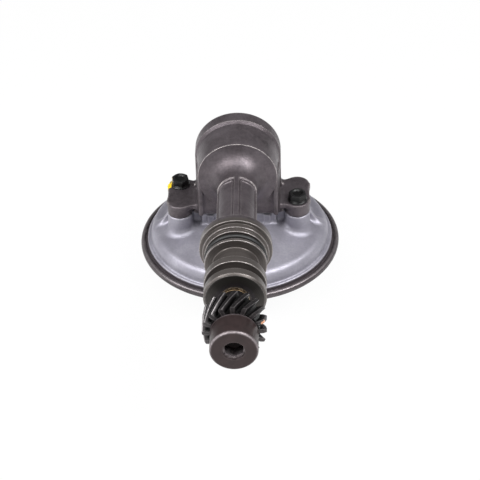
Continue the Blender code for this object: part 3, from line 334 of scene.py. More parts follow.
# Adds nodes to one node tree and hands on their outputs. Sizes are in millimetres.
class Nodes:
    def __init__(self, owner):
        owner.use_nodes = True
        self.tree = owner.node_tree
        self.shader = self.tree.nodes.get("Principled BSDF")

    # Gives inputs of a node their values: numbers, colours, sRGB hex text or another node's output.
    def fill(self, node, inputs):
        for key, value in inputs.items():
            if isinstance(value, bpy.types.NodeSocket):
                self.tree.links.new(value, node.inputs[key])
            else:
                node.inputs[key].default_value = linearColour(value) if isinstance(value, str) else value

    def add(self, kind, output, inputs=None, **settings):
        node = self.tree.nodes.new("ShaderNode" + kind)
        for key, value in settings.items():
            setattr(node, key, value)
        self.fill(node, inputs or {})
        return node.outputs[output]

    # Product of two numbers, or their sum or difference where that is named.
    def combine(self, first, second, operation="MULTIPLY"):
        return self.add("Math", 0, {0: first, 1: second}, operation=operation)

    # Mixes two colours by a factor: first x (1 - factor) + second x factor.
    def mix(self, factor, first, second):
        return self.add("Mix", 2, {0: factor, 6: first, 7: second}, data_type="RGBA")

    def mark(self, name):
        return self.add("Attribute", "Fac", attribute_name=name)

    # Noise between two levels, with one patch about as wide as its size.
    def patches(self, size, low, high, detail=4.0):
        noise = self.add("TexNoise", "Fac", {"Vector": self.add("TexCoord", "Object"), "Scale": 1000 / size,
                                             "Detail": detail, "Roughness": 0.55})
        return self.add("MapRange", "Result", {"Value": noise, "From Min": 0.3, "From Max": 0.7, "To Min": low,
                                               "To Max": high})

    # Rings round the shaft axis or, for axis Z, round the origin, as a cutting tool leaves them: noise that
    # changes with the distance from the axis and the place along it, and not with the angle.
    def toolRings(self, spacing, axis="Y"):
        parts = self.add("SeparateXYZ", 0, {"Vector": self.add("TexCoord", "Object")}).node.outputs
        up, along = parts["Y"], parts["Z"]
        if axis == "Y":
            up, along = self.combine(parts["Z"], axleHeight * mm, "SUBTRACT"), parts["Y"]
        flat = self.add("CombineXYZ", 0, {"X": parts["X"], "Y": up})
        radius = self.add("VectorMath", "Value", {0: flat}, operation="LENGTH")
        rings = self.add("CombineXYZ", 0, {"X": radius, "Y": along})
        return self.add("TexNoise", "Fac", {"Vector": rings, "Scale": 1000 / spacing, "Detail": 3.0,
                                            "Roughness": 0.7})

    # Roughness of the surface, and its bumps from a relief between 0 and 1 and their height.
    def dress(self, rough, relief, strength, height):
        bump = self.add("Bump", 0, {"Height": relief, "Strength": strength, "Distance": height * mm})
        self.fill(self.shader, {"Roughness": rough, "Normal": bump})

    # A spot of colour over the surface, by a share from 1 inside an ellipsoid to 0 outside it, with an edge
    # that wanders: the length of the place from its centre, each part divided by that half width, plus noise,
    # compared with one. The share is also the result.
    def spot(self, base, centre, halfWidths, soft, colour):
        place = self.add("TexCoord", "Object")
        for operation, sizes in (("SUBTRACT", centre), ("DIVIDE", halfWidths)):
            sizes = tuple(size * mm for size in sizes)
            place = self.add("VectorMath", 0, {0: place, 1: sizes}, operation=operation)
        length = self.add("VectorMath", "Value", {0: place}, operation="LENGTH")
        ragged = self.combine(length, self.patches(2.0, -0.22, 0.22), "ADD")
        share = self.add("MapRange", "Result", {"Value": ragged, "From Min": 1 + soft, "From Max": 1 - soft})
        self.fill(self.shader, {"Base Color": self.mix(share, base, colour)})
        return share


def newMaterial(name):
    material = bpy.data.materials.new(name)
    return material, Nodes(material)


# Spots: centre and half widths in millimetres, how soft the edge is, and the colour.
paintDab = {"centre": (-46.6, 8.6, 58.8), "halfWidths": (3.9, 4.8, 6.1), "soft": 0.12, "colour": "e3c21c"}
# Painted highlight: a copper-coloured glint on the front end of one tooth.
copperGlint = {"centre": (16.6, -168.4, 88.2), "halfWidths": (1.5, 2.2, 1.2), "soft": 0.12, "colour": "dfa887"}
# Painted shade deep inside the hexagon socket.
socketShade = {"centre": (0, -176.4, 84.6), "halfWidths": (8.0, 7.4, 6.8), "soft": 0.2, "colour": "080606"}


# Inspection dab of yellow paint on the left bolt and the lobe beside it, with no metal in it.
def addPaintDab(nodes, base, metallic):
    bare = nodes.combine(1.0, nodes.spot(base, **paintDab), "SUBTRACT")
    nodes.fill(nodes.shader, {"Metallic": nodes.combine(bare, metallic)})


# Darker towards the roots of the gear teeth, and a copper-coloured glint on the front end of one tooth, a
# painted highlight.
def addGearMarks(nodes, base, metallic):
    nodes.spot(nodes.mix(nodes.mark("darkened"), base, "060505"), **copperGlint)


# Painted shade in the hexagon socket: near black on its walls and floor, but not at its lower mouth, where the
# light reaches.
def addSocketShade(nodes, base, metallic):
    nodes.spot(base, **socketShade)


# Sand-cast iron that was oiled and handled: dark warm grey with a fine grain and slight blotches, ringed
# where a tool has cut it, and rubbed to bright bare metal in nicks along its outer edges. Its darkened mark
# is painted shade, and some of its pale edge marks are painted highlights.
def castIronMaterial(look):
    material, nodes = newMaterial("oiled cast iron")
    turned, rings = nodes.mark("turned"), nodes.toolRings(look["ring"])
    cast = nodes.mix(nodes.patches(look["blotch"], 0.0, 1.0), look["dark"], look["pale"])
    cast = nodes.mix(nodes.patches(look["speckSize"], 0.0, 0.3), cast, look["speck"])
    base = nodes.mix(turned, cast, nodes.mix(rings, look["ringDark"], look["ringPale"]))
    # Painted shade where the darkened mark is set: the stem's front face.
    base = nodes.mix(nodes.mark("darkened"), base, look["darkened"])
    wear = nodes.combine(nodes.mark("wearAndHighlight"), nodes.patches(look["nick"], 0.25, 1.0))
    addPaintDab(nodes, nodes.mix(wear, base, look["wearAndHighlight"]), look["metallic"])
    rough = nodes.combine(nodes.patches(5.0, 0.38, 0.52), nodes.combine(turned, -0.08), "ADD")
    grain = nodes.combine(nodes.patches(look["grain"], 0.0, 1.0, 2.0), nodes.combine(1.0, turned, "SUBTRACT"))
    relief = nodes.combine(grain, nodes.combine(nodes.combine(rings, turned), 0.5), "ADD")
    nodes.dress(rough, relief, look["relief"], look["height"])
    return material


# Aluminium with soft blotches, a fine even grain, pale worn edges (along the crown of the outer cover's roll a
# painted highlight) and painted shade in the gap at the rolled rim.
def aluminiumMaterial(name, look):
    material, nodes = newMaterial(name)
    base = nodes.mix(nodes.patches(look["blotch"], 0.0, 1.0), look["dark"], look["pale"])
    if "speck" in look:
        base = nodes.mix(nodes.patches(1.4, 0.0, 0.35), base, look["speck"])
    base = nodes.mix(nodes.combine(nodes.mark("wearAndHighlight"), nodes.patches(3.0, *look["wear"])), base, look["wearAndHighlight"])
    # Painted shade: the hollow-shade colour darkens the gap between the light cover and the rolled rim.
    base = nodes.mix(nodes.mark("hollowShade"), base, look["hollowShade"])
    nodes.fill(nodes.shader, {"Base Color": base, "Metallic": look["metallic"]})
    nodes.dress(nodes.patches(*look["rough"]), nodes.patches(look["grain"], 0.0, 1.0, 2.0), look["relief"],
                look["height"])
    return material


# Metal whose colour and gloss vary a little, with tool rings and bright worn edges where the piece has that
# mark; on the collar's lower socket walls that mark is a painted highlight. An extra is a function that is
# given the nodes, the colour and how metallic it is, and finishes those two.
def steelMaterial(name, dark, pale, wearAndHighlight, metallic, rough, ring=0.5, ringShare=0.5, axis="Y", extra=None):
    material, nodes = newMaterial(name)
    rings = nodes.toolRings(ring, axis)
    base = nodes.mix(nodes.patches(6.0, 0.0, 1.0), dark, pale)
    base = nodes.mix(nodes.combine(rings, ringShare), base, pale)
    base = nodes.mix(nodes.combine(nodes.mark("wearAndHighlight"), nodes.patches(1.5, 0.4, 1.0)), base, wearAndHighlight)
    nodes.fill(nodes.shader, {"Base Color": base, "Metallic": metallic})
    if extra:
        extra(nodes, base, metallic)
    nodes.dress(nodes.patches(3.0, rough - 0.06, rough + 0.08), rings, 0.3, 0.04)
    return material


# Moulded rubber or pressed fibre: no metal, a faint grain.
def dullMaterial(name, dark, pale, rough, grain):
    material, nodes = newMaterial(name)
    base = nodes.mix(nodes.patches(4.0, 0.0, 1.0), dark, pale)
    nodes.fill(nodes.shader, {"Base Color": base, "Metallic": 0.0})
    nodes.dress(nodes.patches(3.0, rough - 0.05, rough + 0.05), nodes.patches(grain, 0.0, 1.0), 0.3, 0.04)
    return material


# Colours are sRGB hex text. Blotch, speckSize, ring, nick and grain are widths in millimetres, rough is the
# width of its patches with the least and most, and relief and height are the strength and height of the
# bumps.
castIron = castIronMaterial({
    "dark": "403a3d", "pale": "5c565a", "speck": "756c70", "wearAndHighlight": "beb7b6", "ringDark": "373331",
    "ringPale": "6e6865", "darkened": "1a1a18", "metallic": 0.72, "blotch": 14.0, "speckSize": 2.2, "ring": 0.55,
    "nick": 1.1, "grain": 0.9, "relief": 0.6, "height": 0.10})
lightAlloy = aluminiumMaterial("tumbled die-cast aluminium", {
    "dark": "84828c", "pale": "a09ea8", "speck": "77757f", "wearAndHighlight": "cfccd4", "hollowShade": "4f484b", "metallic": 0.6,
    "wear": (0.7, 0.7), "blotch": 18.0, "rough": (6.0, 0.44, 0.56), "grain": 0.8, "relief": 0.5,
    "height": 0.07})
darkCover = aluminiumMaterial("dark rolled cover", {
    "dark": "3b3638", "pale": "4d4749", "wearAndHighlight": "a39c9f", "hollowShade": "2a2526", "metallic": 0.7,
    "wear": (0.5, 0.9), "blotch": 12.0, "rough": (7.0, 0.34, 0.46), "grain": 1.0, "relief": 0.25,
    "height": 0.05})
blackBolt = steelMaterial("black phosphated steel", "060606", "0c0c0c", "2c2c2d", metallic=0.5, rough=0.38,
                          ring=0.6, ringShare=0.2, axis="Z", extra=addPaintDab)
groundSteel = steelMaterial("ground steel", "77746f", "9a9792", "c4c1bc", metallic=1.0, rough=0.30)
gearSteel = steelMaterial("hardened gear steel", "171516", "292627", "9a9596", metallic=0.75, rough=0.46,
                          ring=0.7, ringShare=0.4, extra=addGearMarks)
brownSteel = steelMaterial("turned brown steel", "221b1b", "362a2a", "a89fa2", metallic=0.55, rough=0.42,
                           ring=0.45, ringShare=0.8, extra=addSocketShade)
bronze = steelMaterial("bearing bronze", "7a5c40", "9a7857", "f0e2cc", metallic=1.0, rough=0.34)
oiledBronze = steelMaterial("oiled bronze", "2b231b", "3d3228", "8a7458", metallic=0.9, rough=0.4)
rubber = dullMaterial("moulded rubber", "070707", "0e0e0f", rough=0.5, grain=0.8)
fibre = dullMaterial("pressed gasket fibre", "4c4c4f", "5e5e61", rough=0.8, grain=0.5)
print("materials made")


# Crank housing: turned dome, bell, neck, collar and lands

stem = {
    "steps": 360, "step": 0.8,
    "fineStep": 0.22,  # along the neck, which carries the panels
    "bellEdge": -18.4,  # rubbed edge between the dome and the bell
    "bellRadius": 24.3, "bellLength": 14.0, "neckRadius": 12.3, "neckRear": -32.0, "neckFront": -85.0,
    "panelDepth": 0.8,  # cast panels on the top and the underside of the neck
    "panelRear": -35.2, "panelFront": -83.4,
    "panelRibAngle": 7.0,  # half of the rib between two panels, in degrees
    "panelEndAngle": 78.0, "panelEdge": 0.4,
    "endStretch": 1.9,  # the steps at the ends of a panel are this much wider than at its sides
    "lineInset": 1.45,  # raised line that runs inside the edge of each panel
    "lineWidth": 0.36, "lineHeight": 0.45, "wornWidth": 0.22,
    "turnedFrom": -88.0,  # the stem is cut by a tool from here to its front
    "shadedFrom": -138.6,  # painted shade on the front face, round the bush
    "shadedRadius": 17.8,
}


def smoothStep(value):
    t = np.clip(value, 0, 1)
    return t * t * (3 - 2 * t)


# How far a point of the neck lies inside its panel: the least of its distances to the rib, to the side and,
# scaled down, to both ends. The second result is 1 nearer the side than the rib.
def panelInset(angle, along):
    turn = np.abs((angle + np.pi / 2) % np.pi - np.pi / 2)  # from the top or the bottom line
    arc = turn * stem["neckRadius"]
    low = math.radians(stem["panelRibAngle"]) * stem["neckRadius"]
    high = math.radians(stem["panelEndAngle"]) * stem["neckRadius"]
    ends = np.minimum(along - stem["panelFront"], stem["panelRear"] - along) / stem["endStretch"]
    return np.minimum(np.minimum(arc - low, high - arc), ends), (high - arc < arc - low) * 1.0


# A bell curve: one at the given place, near zero a width away from it.
def hump(value, place, width):
    return np.exp(-(((value - place) / width) ** 2))


def isNeck(along, radius):
    return (abs(radius - stem["neckRadius"]) < 0.05) & (along > stem["neckFront"]) & (along < stem["neckRear"])


# Radius change of the neck: each panel is sunk by its depth with a soft edge, and carries a raised line
# inside it.
def neckPanels(angle, along, radius):
    inset, _ = panelInset(angle, along)
    sunk = smoothStep(inset / stem["panelEdge"]) * stem["panelDepth"]
    line = hump(inset, stem["lineInset"], stem["lineWidth"]) * stem["lineHeight"]
    return np.where(isNeck(along, radius), line - sunk, 0.0)


# Corners as radius, place along the axis and rounding.
def stemOutline():
    edge, large, small = stem["bellEdge"], stem["bellRadius"], stem["neckRadius"]
    bell = [(large - (large - small) * math.sin(a), edge - stem["bellLength"] * (1 - math.cos(a)), 0)
            for a in np.linspace(0, math.pi / 2, 19)[1:-1]]
    return [
        (22.5, 14.1, 0.3), (27.1, 14.1, 1.1), (27.1, 5.0, 0.5), (25.78, 2.6, 1.2), (24.75, edge, 0.5),
        (large, edge, 0), *bell, (small, edge - stem["bellLength"], 0), (small, -86.0, 1.6), (21.6, -86.0, 0.7),
        (21.9, -92.8, 0.25), (19.9, -92.8, 0.2), (19.9, -96.3, 0.3), (18.63, -96.3, 0.2), (18.63, -99.0, 0.3),
        (15.6, -99.0, 0.3), (15.6, -105.0, 0.3), (18.5, -105.0, 0.3), (18.5, -107.4, 0.35),
        (13.3, -107.4, 0.8), (13.3, -121.7, 0.8), (18.4, -121.7, 0.35), (18.4, -127.2, 0.35),
        (13.3, -127.2, 0.8), (13.3, -133.2, 0.8), (18.4, -133.2, 0.35), (18.4, -138.0, 0.12),
        (17.3, -139.2, 0.12), (8.77, -139.2, 0.45), (8.77, -12.6, 0), (21.5, -12.6, 0), (21.5, 9.4, 0),
        (22.5, 9.4, 0),
    ]


# How worn the neck's panel edges and raised lines are, from their inset. The rear ends are rubbed brightest.
def panelWear(angle, along, radius):
    inset, outer = panelInset(angle, along)
    edge = hump(inset, -0.05, stem["wornWidth"]) * (0.2 + 0.4 * outer)
    line = hump(inset, stem["lineInset"], stem["wornWidth"]) * 0.15
    rear = smoothStep((along - stem["panelRear"] + 5.0) / 2.0)
    return np.where(isNeck(along, radius), np.maximum(edge, line) * (1.0 + 1.4 * rear), 0.0)


# The edge of the bell gets its pale line on its upper half only, a painted highlight.
def makeStem():
    corners = roundCorners(stemOutline())
    isFine = (corners[:, 1] > stem["neckFront"] - 0.5) & (corners[:, 1] < stem["neckRear"] + 1.0)
    isFine &= corners[:, 0] < stem["neckRadius"] + 0.1
    outline = finer(corners, np.where(isFine, stem["fineStep"], stem["step"]), True)
    points, faces = turnedShape(outline, stem["steps"], (0, 0, axleHeight), neckPanels)
    angle = fullTurn(stem["steps"])[None, :]
    radius, along = outline[:, :1], outline[:, 1:]
    isBell = abs(along - stem["bellEdge"]) < 1
    edges = np.clip(outlineWear(outline)[:, None] * np.where(isBell, 1.3, 0.75), 0, 1)
    # Painted highlight: the bell's edge line stays pale on its upper half only.
    edges = edges * np.where(isBell, smoothStep(0.6 + 1.2 * np.cos(angle)), 1.0)
    turned = np.clip((stem["turnedFrom"] - along) / 2.0, 0, 1) * (radius > 12)
    # Painted shade: the front face round the bush is darkened.
    darkened = 0.65 * (along < stem["shadedFrom"]) * (radius < stem["shadedRadius"])
    marks = {"wearAndHighlight": np.maximum(edges, panelWear(angle, along, radius)), "turned": turned + 0 * angle,
             "darkened": darkened + 0 * angle}
    makePiece("housingStem", points, faces, castIron, "pump_body", ("pump_housing",), marks)


makeStem()


# Crank housing: block, cheeks, base plate and ears

block = {
    "step": 0.62, "under": 48.45, "earTop": 56.9, "earPlate": 3.6, "earHalf": 13.7, "front": -10.4,
    "rear": 13.95,
    "rearHalf": 27.1,  # half width of the band behind, and of the walls where they leave it
    "wallHalf": 25.7, "wallDraft": 0.0466, "wallFront": -15.0, "cheekFront": -16.8, "cheekRear": -4.0,
    "cheekInner": 22.6, "frontHalf": 24.4, "plateHalf": 28.6, "coreHalf": 29.0, "coreFront": -8.0,
    "coreRear": 12.9, "lobeRadius": 7.7, "lobes": (37.4, 8.9), "boltHole": 3.25,
    "pads": (27.8, 8.0),  # small raised pads on the ears
    "padRadius": 1.5,
    "roomRadius": 21.5,  # crank room, and the wider seat of its cap
    "roomFront": -12.6, "roomRear": 9.4, "seatRadius": 22.5,
    "slot": (13.0, 8.0),  # half sizes of the opening for the rod
    "edge": 0.7, "fillet": 2.4,
}


# Half width of the walls: the draft of the dome in front, the wider band behind.
def wallHalf(y):
    body = block["wallHalf"] + (np.minimum(y, 2.0) - 2.0) * block["wallDraft"]
    return body + (block["rearHalf"] - block["wallHalf"]) * smoothStep((y - 2.0) / 3.0)


# Distance to the nearer of the two bolt axes, which stand in opposite lobes.
def boltDistance(x, y):
    across, depth = block["lobes"]
    return np.minimum(np.hypot(x + across, y - depth), np.hypot(x - across, y + depth))


# The block is the walls below the dome, joined by fillets to the base plate, the ear plate and four round
# lobes. The crank room, the slot for the rod and the two bolt holes are cut from it.
def blockField(x, y, z):
    side = abs(x)
    lobeX, lobeY = block["lobes"]
    under, top, axle = block["under"], block["earTop"], axleHeight
    cheekLow = under + 2.4
    wall = (side - wallHalf(y)) * 0.998  # times the cosine of the draft
    body = np.maximum(roundedBoth(wall, slab(y, block["front"], block["rear"]), 0.9), slab(z, under, axle))
    cheek = roundedBoth(wall, block["cheekInner"] - side, 0.6)
    cheek = roundedBoth(cheek, slab(y, block["cheekFront"], block["cheekRear"]), 0.6)
    cheek = np.maximum(cheek, slab(z, cheekLow, axle))
    end = block["frontHalf"], 0.0, axle + 2
    front = boxField(side, y, z, (pastMiddle, block["wallFront"], under + 3.8), end, 0.8)
    front = np.maximum(front, z - axle)
    end = block["plateHalf"], block["rear"], cheekLow
    plate = boxField(side, y, z, (pastMiddle, block["front"], under), end, 0.5)
    end = block["coreHalf"], block["coreRear"], top
    core = boxField(side, y, z, (pastMiddle, block["coreFront"], under), end, 0.8)
    flat = blendJoin(roundedBoth(side - lobeX, abs(y) - block["earHalf"], 0.5),
                     roundedBoth(side - lobeX - block["lobeRadius"], abs(y) - lobeY, 0.5), 1.5)
    circle = np.hypot(side - lobeX, abs(y) - lobeY) - block["lobeRadius"]
    flat = blendJoin(flat, circle, 2.5)
    ears = roundedBoth(flat, slab(z, top - block["earPlate"], top), block["edge"])
    lobe = roundedBoth(circle, slab(z, under, top), block["edge"])
    base = blendJoin(np.minimum(plate, core), np.minimum(ears, lobe), 1.0)
    walls = blendJoin(blendJoin(body, front, 2.0), cheek, 3.6)
    solid = blendJoin(walls, base, block["fillet"])
    radial = np.hypot(x, z - axle)
    room = np.maximum(radial - block["roomRadius"], slab(y, block["roomFront"], block["roomRear"]))
    room = np.minimum(room, np.maximum(radial - block["seatRadius"], block["roomRear"] - y))
    slotX, slotY = block["slot"]
    slot = boxField(side, y, z, (pastMiddle, -slotY, 30), (slotX, slotY, 100), 1.0)
    solid = blendCut(solid, np.minimum(room, slot), 0.5)
    solid = blendCut(solid, boltDistance(x, y) - block["boltHole"], 0.3)
    padX, padY = block["pads"]
    pad = np.sqrt((side - padX) ** 2 + (y - padY) ** 2 + (z - top) ** 2) - block["padRadius"]
    return blendJoin(solid, pad, 0.5)


# The walls under the bell are barely rubbed; the tops of the pads get a pale spot, a painted highlight.
def makeBlock():
    points, faces = solidShape(blockField, (-47.0, -18.6, 46.8), (47.0, 18.6, 83.2), block["step"])
    x, y, z = points.T
    share = np.where(y < block["front"] - 1.5, 0.08, 0.4)
    # Painted highlight: a pale spot on top of each pad.
    pad = hump(np.hypot(abs(x) - block["pads"][0], y - block["pads"][1]), 0, 1.1)
    pad = 0.85 * pad * (z > block["earTop"] + 0.4)
    marks = {"wearAndHighlight": np.maximum(solidWear(blockField, points) * share, pad), "turned": 0 * x}
    makePiece("crankBlock", points, faces, castIron, "pump_body", marks=marks, sharpAngle=60)


makeBlock()


# Light cover

cover = {
    "step": 0.66,
    "foot": 33.0,  # tower, bosses, webs and fins start here, inside the plate
    "bossRadius": 7.9, "bossTop": 48.3,
    "outerWeb": (3.5, 42.5),  # half width and top of the web between two bosses
    "innerWeb": (6.5, 47.2),  # the same of the web from there to the tower
    "innerWebFrom": 20.0,
    "holeEnd": 36.0,  # bottom of the bolt holes
    "skirt": 4.2,  # radius of the fillet round bosses and fins
    "towerHalf": 24.0, "towerFront": -10.3, "towerRear": 13.2, "towerTop": 47.65,
    "pilaster": (15.8, 20.2), "pilasterProud": 0.9, "finFoot": (51.5, 33.2), "finTop": (45.0, 43.5),
    "finHalf": 1.4, "finAlong": -0.5,
    "hollowShadeRadius": 59.2,  # painted shade in the gap under the rolled rim, outside this radius and below this level
    "hollowShadeLevel": 24.2,
}

coverOutline = roundCorners([
    (0, 39.8, 0), (24.0, 39.8, 5.0), (54.6, 32.8, 7.4), (57.0, 28.6, 6.5), (57.1, 24.3, 1.2), (59.6, 24.3, 0.9),
    (59.6, 21.15, 0.2), (62.1, 21.15, 0), (62.1, 20.05, 0), (54.3, 20.05, 0.3), (54.2, 24.2, 0.8),
    (51.4, 29.6, 2.0), (47.4, 31.2, 2.0), (24.0, 36.8, 1.0), (0, 36.8, 0)], closed=False)
coverTurned = TurnedField(np.concatenate([coverOutline, [[-8.0, 36.8], [-8.0, 39.8]]]))


# The turned plate of the cover, joined by wide fillets to the tower, four bosses, their webs and the side fins.
def coverField(x, y, z):
    side = abs(x)
    lobeX, lobeY = block["lobes"]
    foot, towerFront = cover["foot"], cover["towerFront"]
    circle = np.hypot(side - lobeX, abs(y) - lobeY) - cover["bossRadius"]
    boss = roundedBoth(circle, slab(z, foot, cover["bossTop"]), 0.5)
    half, top = cover["outerWeb"]
    outerWeb = boxField(side, y, z, (lobeX - half, -lobeY, foot), (lobeX + half, lobeY, top), 1.2)
    half, top = cover["innerWeb"]
    innerWeb = boxField(side, y, z, (cover["innerWebFrom"], -half, foot), (lobeX, half, top), 0.6)
    slope = np.array(cover["finTop"]) - np.array(cover["finFoot"])
    normal = np.array([slope[1], -slope[0]]) / np.linalg.norm(slope)
    edge = (side - cover["finFoot"][0]) * normal[0] + (z - cover["finFoot"][1]) * normal[1]
    fin = roundedBoth(edge, abs(y - cover["finAlong"]) - cover["finHalf"], 0.6)
    fin = np.maximum(fin, np.maximum(lobeX - side, foot - z))
    towerEnd = (cover["towerHalf"], cover["towerRear"], cover["towerTop"])
    tower = boxField(side, y, z, (pastMiddle, towerFront, foot), towerEnd, 1.2)
    low, high = cover["pilaster"]
    pilaster = boxField(side, y, z, (low, towerFront - cover["pilasterProud"], foot),
                        (high, 0.0, cover["towerTop"] - 0.9), 0.5)
    tower = blendJoin(tower, pilaster, 0.7)
    feet = blendJoin(blendJoin(boss, outerWeb, 1.6), fin, 1.6)
    solid = arcJoin(coverTurned(np.hypot(x, y), z), feet, cover["skirt"])
    solid = blendJoin(solid, blendJoin(tower, innerWeb, 0.8), 2.2)
    slotX, slotY = block["slot"]
    solid = blendCut(solid, boxField(side, y, z, (pastMiddle, -slotY, 20.0), (slotX, slotY, 60.0), 1.0), 0.6)
    return blendCut(solid, np.maximum(boltDistance(x, y) - block["boltHole"], cover["holeEnd"] - z), 0.3)


def makeCover():
    points, faces = solidShape(coverField, (-63.2, -63.2, 18.9), (63.2, 63.2, 49.4), cover["step"])
    x, y, z = points.T
    # Painted shade on the flange's outer side, in the gap under the rolled rim.
    outside = smoothStep((np.hypot(x, y) - cover["hollowShadeRadius"]) / 0.5)
    hollowShade = outside * smoothStep((cover["hollowShadeLevel"] - z) / 0.7)
    marks = {"wearAndHighlight": solidWear(coverField, points) * 0.25, "hollowShade": hollowShade}
    makePiece("lightCover", points, faces, lightAlloy, "pump_body", ("diaphragm_cover",),
              marks, sharpAngle=60)


makeCover()


# Outer cover

dish = {
    "step": 0.7, "valveAcross": 10.0, "valveAlong": 41.0, "valveTop": 14.0,
    "inletSteps": ((3.0, 5.5), (7.0, 10.2)),  # radius and floor of each step of the valve's seat
    "outletSteps": ((6.0, 4.0), (6.5, 9.6)), "blockHalf": 18.6, "blockFront": 32.4, "blockRear": 53.6,
    "blockUnder": 0.9, "blockTop": 12.0, "nozzleLevel": 7.0, "outletLevel": 6.4, "bossRadius": 6.4,
    "outletBossRadius": 4.4, "bossFront": 47.0, "bossRear": 59.5, "rimCentre": (62.2, 20.2),
    "rimHalf": (1.8, 2.3),
    "nozzleSocket": (4.15, 52.0),  # radius, and where it ends
    "inletBore": 2.6, "outletBore": 2.2,
    "crownRadius": 62.9,  # top of the roll, with a painted highlight
    "hollowShadeRadius": 60.7,  # groove of the rim, painted shade inside this radius
}

rimRadius, rimLevel = dish["rimCentre"]
rolledEdge = [(rimRadius + dish["rimHalf"][0] * math.cos(a), rimLevel + dish["rimHalf"][1] * math.sin(a), 0)
              for a in np.radians(np.linspace(-70, 135, 14))]
dishOutline = roundCorners([
    (0, 0, 0), (37.7, 0, 5.0), (49.5, 9.0, 4.0), (58.2, 17.2, 0.5), (60.3, 16.9, 0.5), (61.6, 17.5, 0.5),
    *rolledEdge, (60.4, 21.7, 0.3), (59.8, 21.7, 0.1), (59.8, 21.3, 0), (62.4, 21.3, 0), (62.4, 19.0, 0),
    (56.0, 19.0, 0.6), (47.96, 10.54, 4.0), (36.6, 2.2, 4.0), (0, 2.2, 0)], closed=False)
dishTurned = TurnedField(np.concatenate([dishOutline, [[-8.0, 2.2], [-8.0, 0.0]]]))


# The turned dish and rolled rim, joined to the valve block inside and to the nozzle and outlet bosses
# outside. The bores and the stepped seats of both valves are cut from it.
def dishField(x, y, z):
    solid = dishTurned(np.hypot(x, y), z)
    half, spread, rear = dish["blockHalf"], dish["valveAcross"], dish["bossRear"]
    low, high = (-half, dish["blockFront"], dish["blockUnder"]), (half, dish["blockRear"], dish["blockTop"])
    solid = blendJoin(solid, boxField(x, y, z, low, high, 1.5), 1.5)
    nozzle = np.hypot(x + spread, z - dish["nozzleLevel"])
    outlet = np.hypot(x - spread, z - dish["outletLevel"])
    bosses = (nozzle, dish["bossRadius"], rear), (outlet, dish["outletBossRadius"], rear - 2.0)
    for line, radius, end in bosses:
        solid = blendJoin(solid, barField(line, y, radius, dish["bossFront"], end, 0.5), 1.5)
    ahead = dish["valveAlong"] - y
    socket, floor = dish["nozzleSocket"]
    cuts = [np.maximum(nozzle - socket, floor - y)]
    cuts += [np.maximum(nozzle - dish["inletBore"], ahead), np.maximum(outlet - dish["outletBore"], ahead)]
    for across, steps in ((-spread, dish["inletSteps"]), (spread, dish["outletSteps"])):
        centre, above = np.hypot(x - across, ahead), z - dish["valveTop"]
        cuts += [np.maximum(centre - size, np.maximum(floor - z, above)) for size, floor in steps]
    for tool in cuts:
        solid = blendCut(solid, tool, 0.2)
    return solid


def makeDish():
    points, faces = solidShape(dishField, (-65.2, -65.2, -1.1), (65.2, 65.2, 23.3), dish["step"])
    points[:, 2] = np.where(points[:, 2] < 0.02, 0.0, points[:, 2])
    x, y, z = points.T
    radius = np.hypot(x, y)
    # Painted shade inside the rim's groove, beside the light cover's flange.
    hollowShade = smoothStep((dish["hollowShadeRadius"] - radius) / 0.5) * smoothStep((z - 20.6) / 0.5)
    # Painted highlight: a pale line along the crown of the roll.
    crown = hump(radius, dish["crownRadius"], 0.9) * smoothStep((z - 21.6) / 0.5)
    marks = {"wearAndHighlight": np.maximum(solidWear(dishField, points) * 0.2, 0.55 * crown), "hollowShade": hollowShade}
    makePiece("outerCover", points, faces, darkCover, "pump_body", ("outer_cover",), marks,
              sharpAngle=60)


makeDish()


# Helical gear

gear = {"teeth": 16, "tip": 18.4, "helix": 29.0, "pressure": 15.5, "rear": -153.9, "front": -168.5, "hub": 8.4,
        "hubRear": -141.0, "bore": 5.65, "firstTooth": -2.5, "slices": 30, "flankSteps": 7, "endChamfer": 0.35,
        "tipRound": 0.3, "wornTip": (0.9, 0.35, 0.0)}


def involute(angle):
    return np.tan(angle) - angle


# Outline of one transverse section as angle, radius and wear: involute flanks between a rounded root and a
# rounded tip, repeated for every tooth.
def toothSection():
    teeth, tip, tipRound = gear["teeth"], gear["tip"], gear["tipRound"]
    helix = math.radians(gear["helix"])
    pitch = tip * teeth / (teeth + 2 * math.cos(helix))
    module = 2 * pitch * math.cos(helix) / teeth
    pressure = math.atan(math.tan(math.radians(gear["pressure"])) / math.cos(helix))
    base = pitch * math.cos(pressure)
    root = pitch - 1.25 * module
    radii = np.linspace(max(base, root + 0.3), tip - tipRound, gear["flankSteps"])
    half = math.pi / 2 / teeth + involute(pressure) - involute(np.arccos(np.clip(base / radii, -1, 1)))
    gap = math.pi / teeth
    rootAngles = [gap - (gap - half[0]) * 0.45, half[0] + (gap - half[0]) * 0.12]
    tipAngles = [half[-1] - 0.25 * tipRound / tip, half[-1] - 1.1 * tipRound / tip]
    angles = np.concatenate([rootAngles, half, tipAngles])
    sizes = np.concatenate([[root, root + 0.25], radii, [tip - 0.12 * tipRound, tip]])
    wearAndHighlight = np.concatenate([np.zeros(len(angles) - 3), gear["wornTip"]])
    middles = math.radians(gear["firstTooth"]) + fullTurn(teeth)
    sides = np.concatenate([-angles, angles[::-1]])
    sizes, wearAndHighlight = (np.tile(np.concatenate([part, part[::-1]]), teeth) for part in (sizes, wearAndHighlight))
    return (middles[:, None] + sides).ravel(), sizes, wearAndHighlight, pitch, root


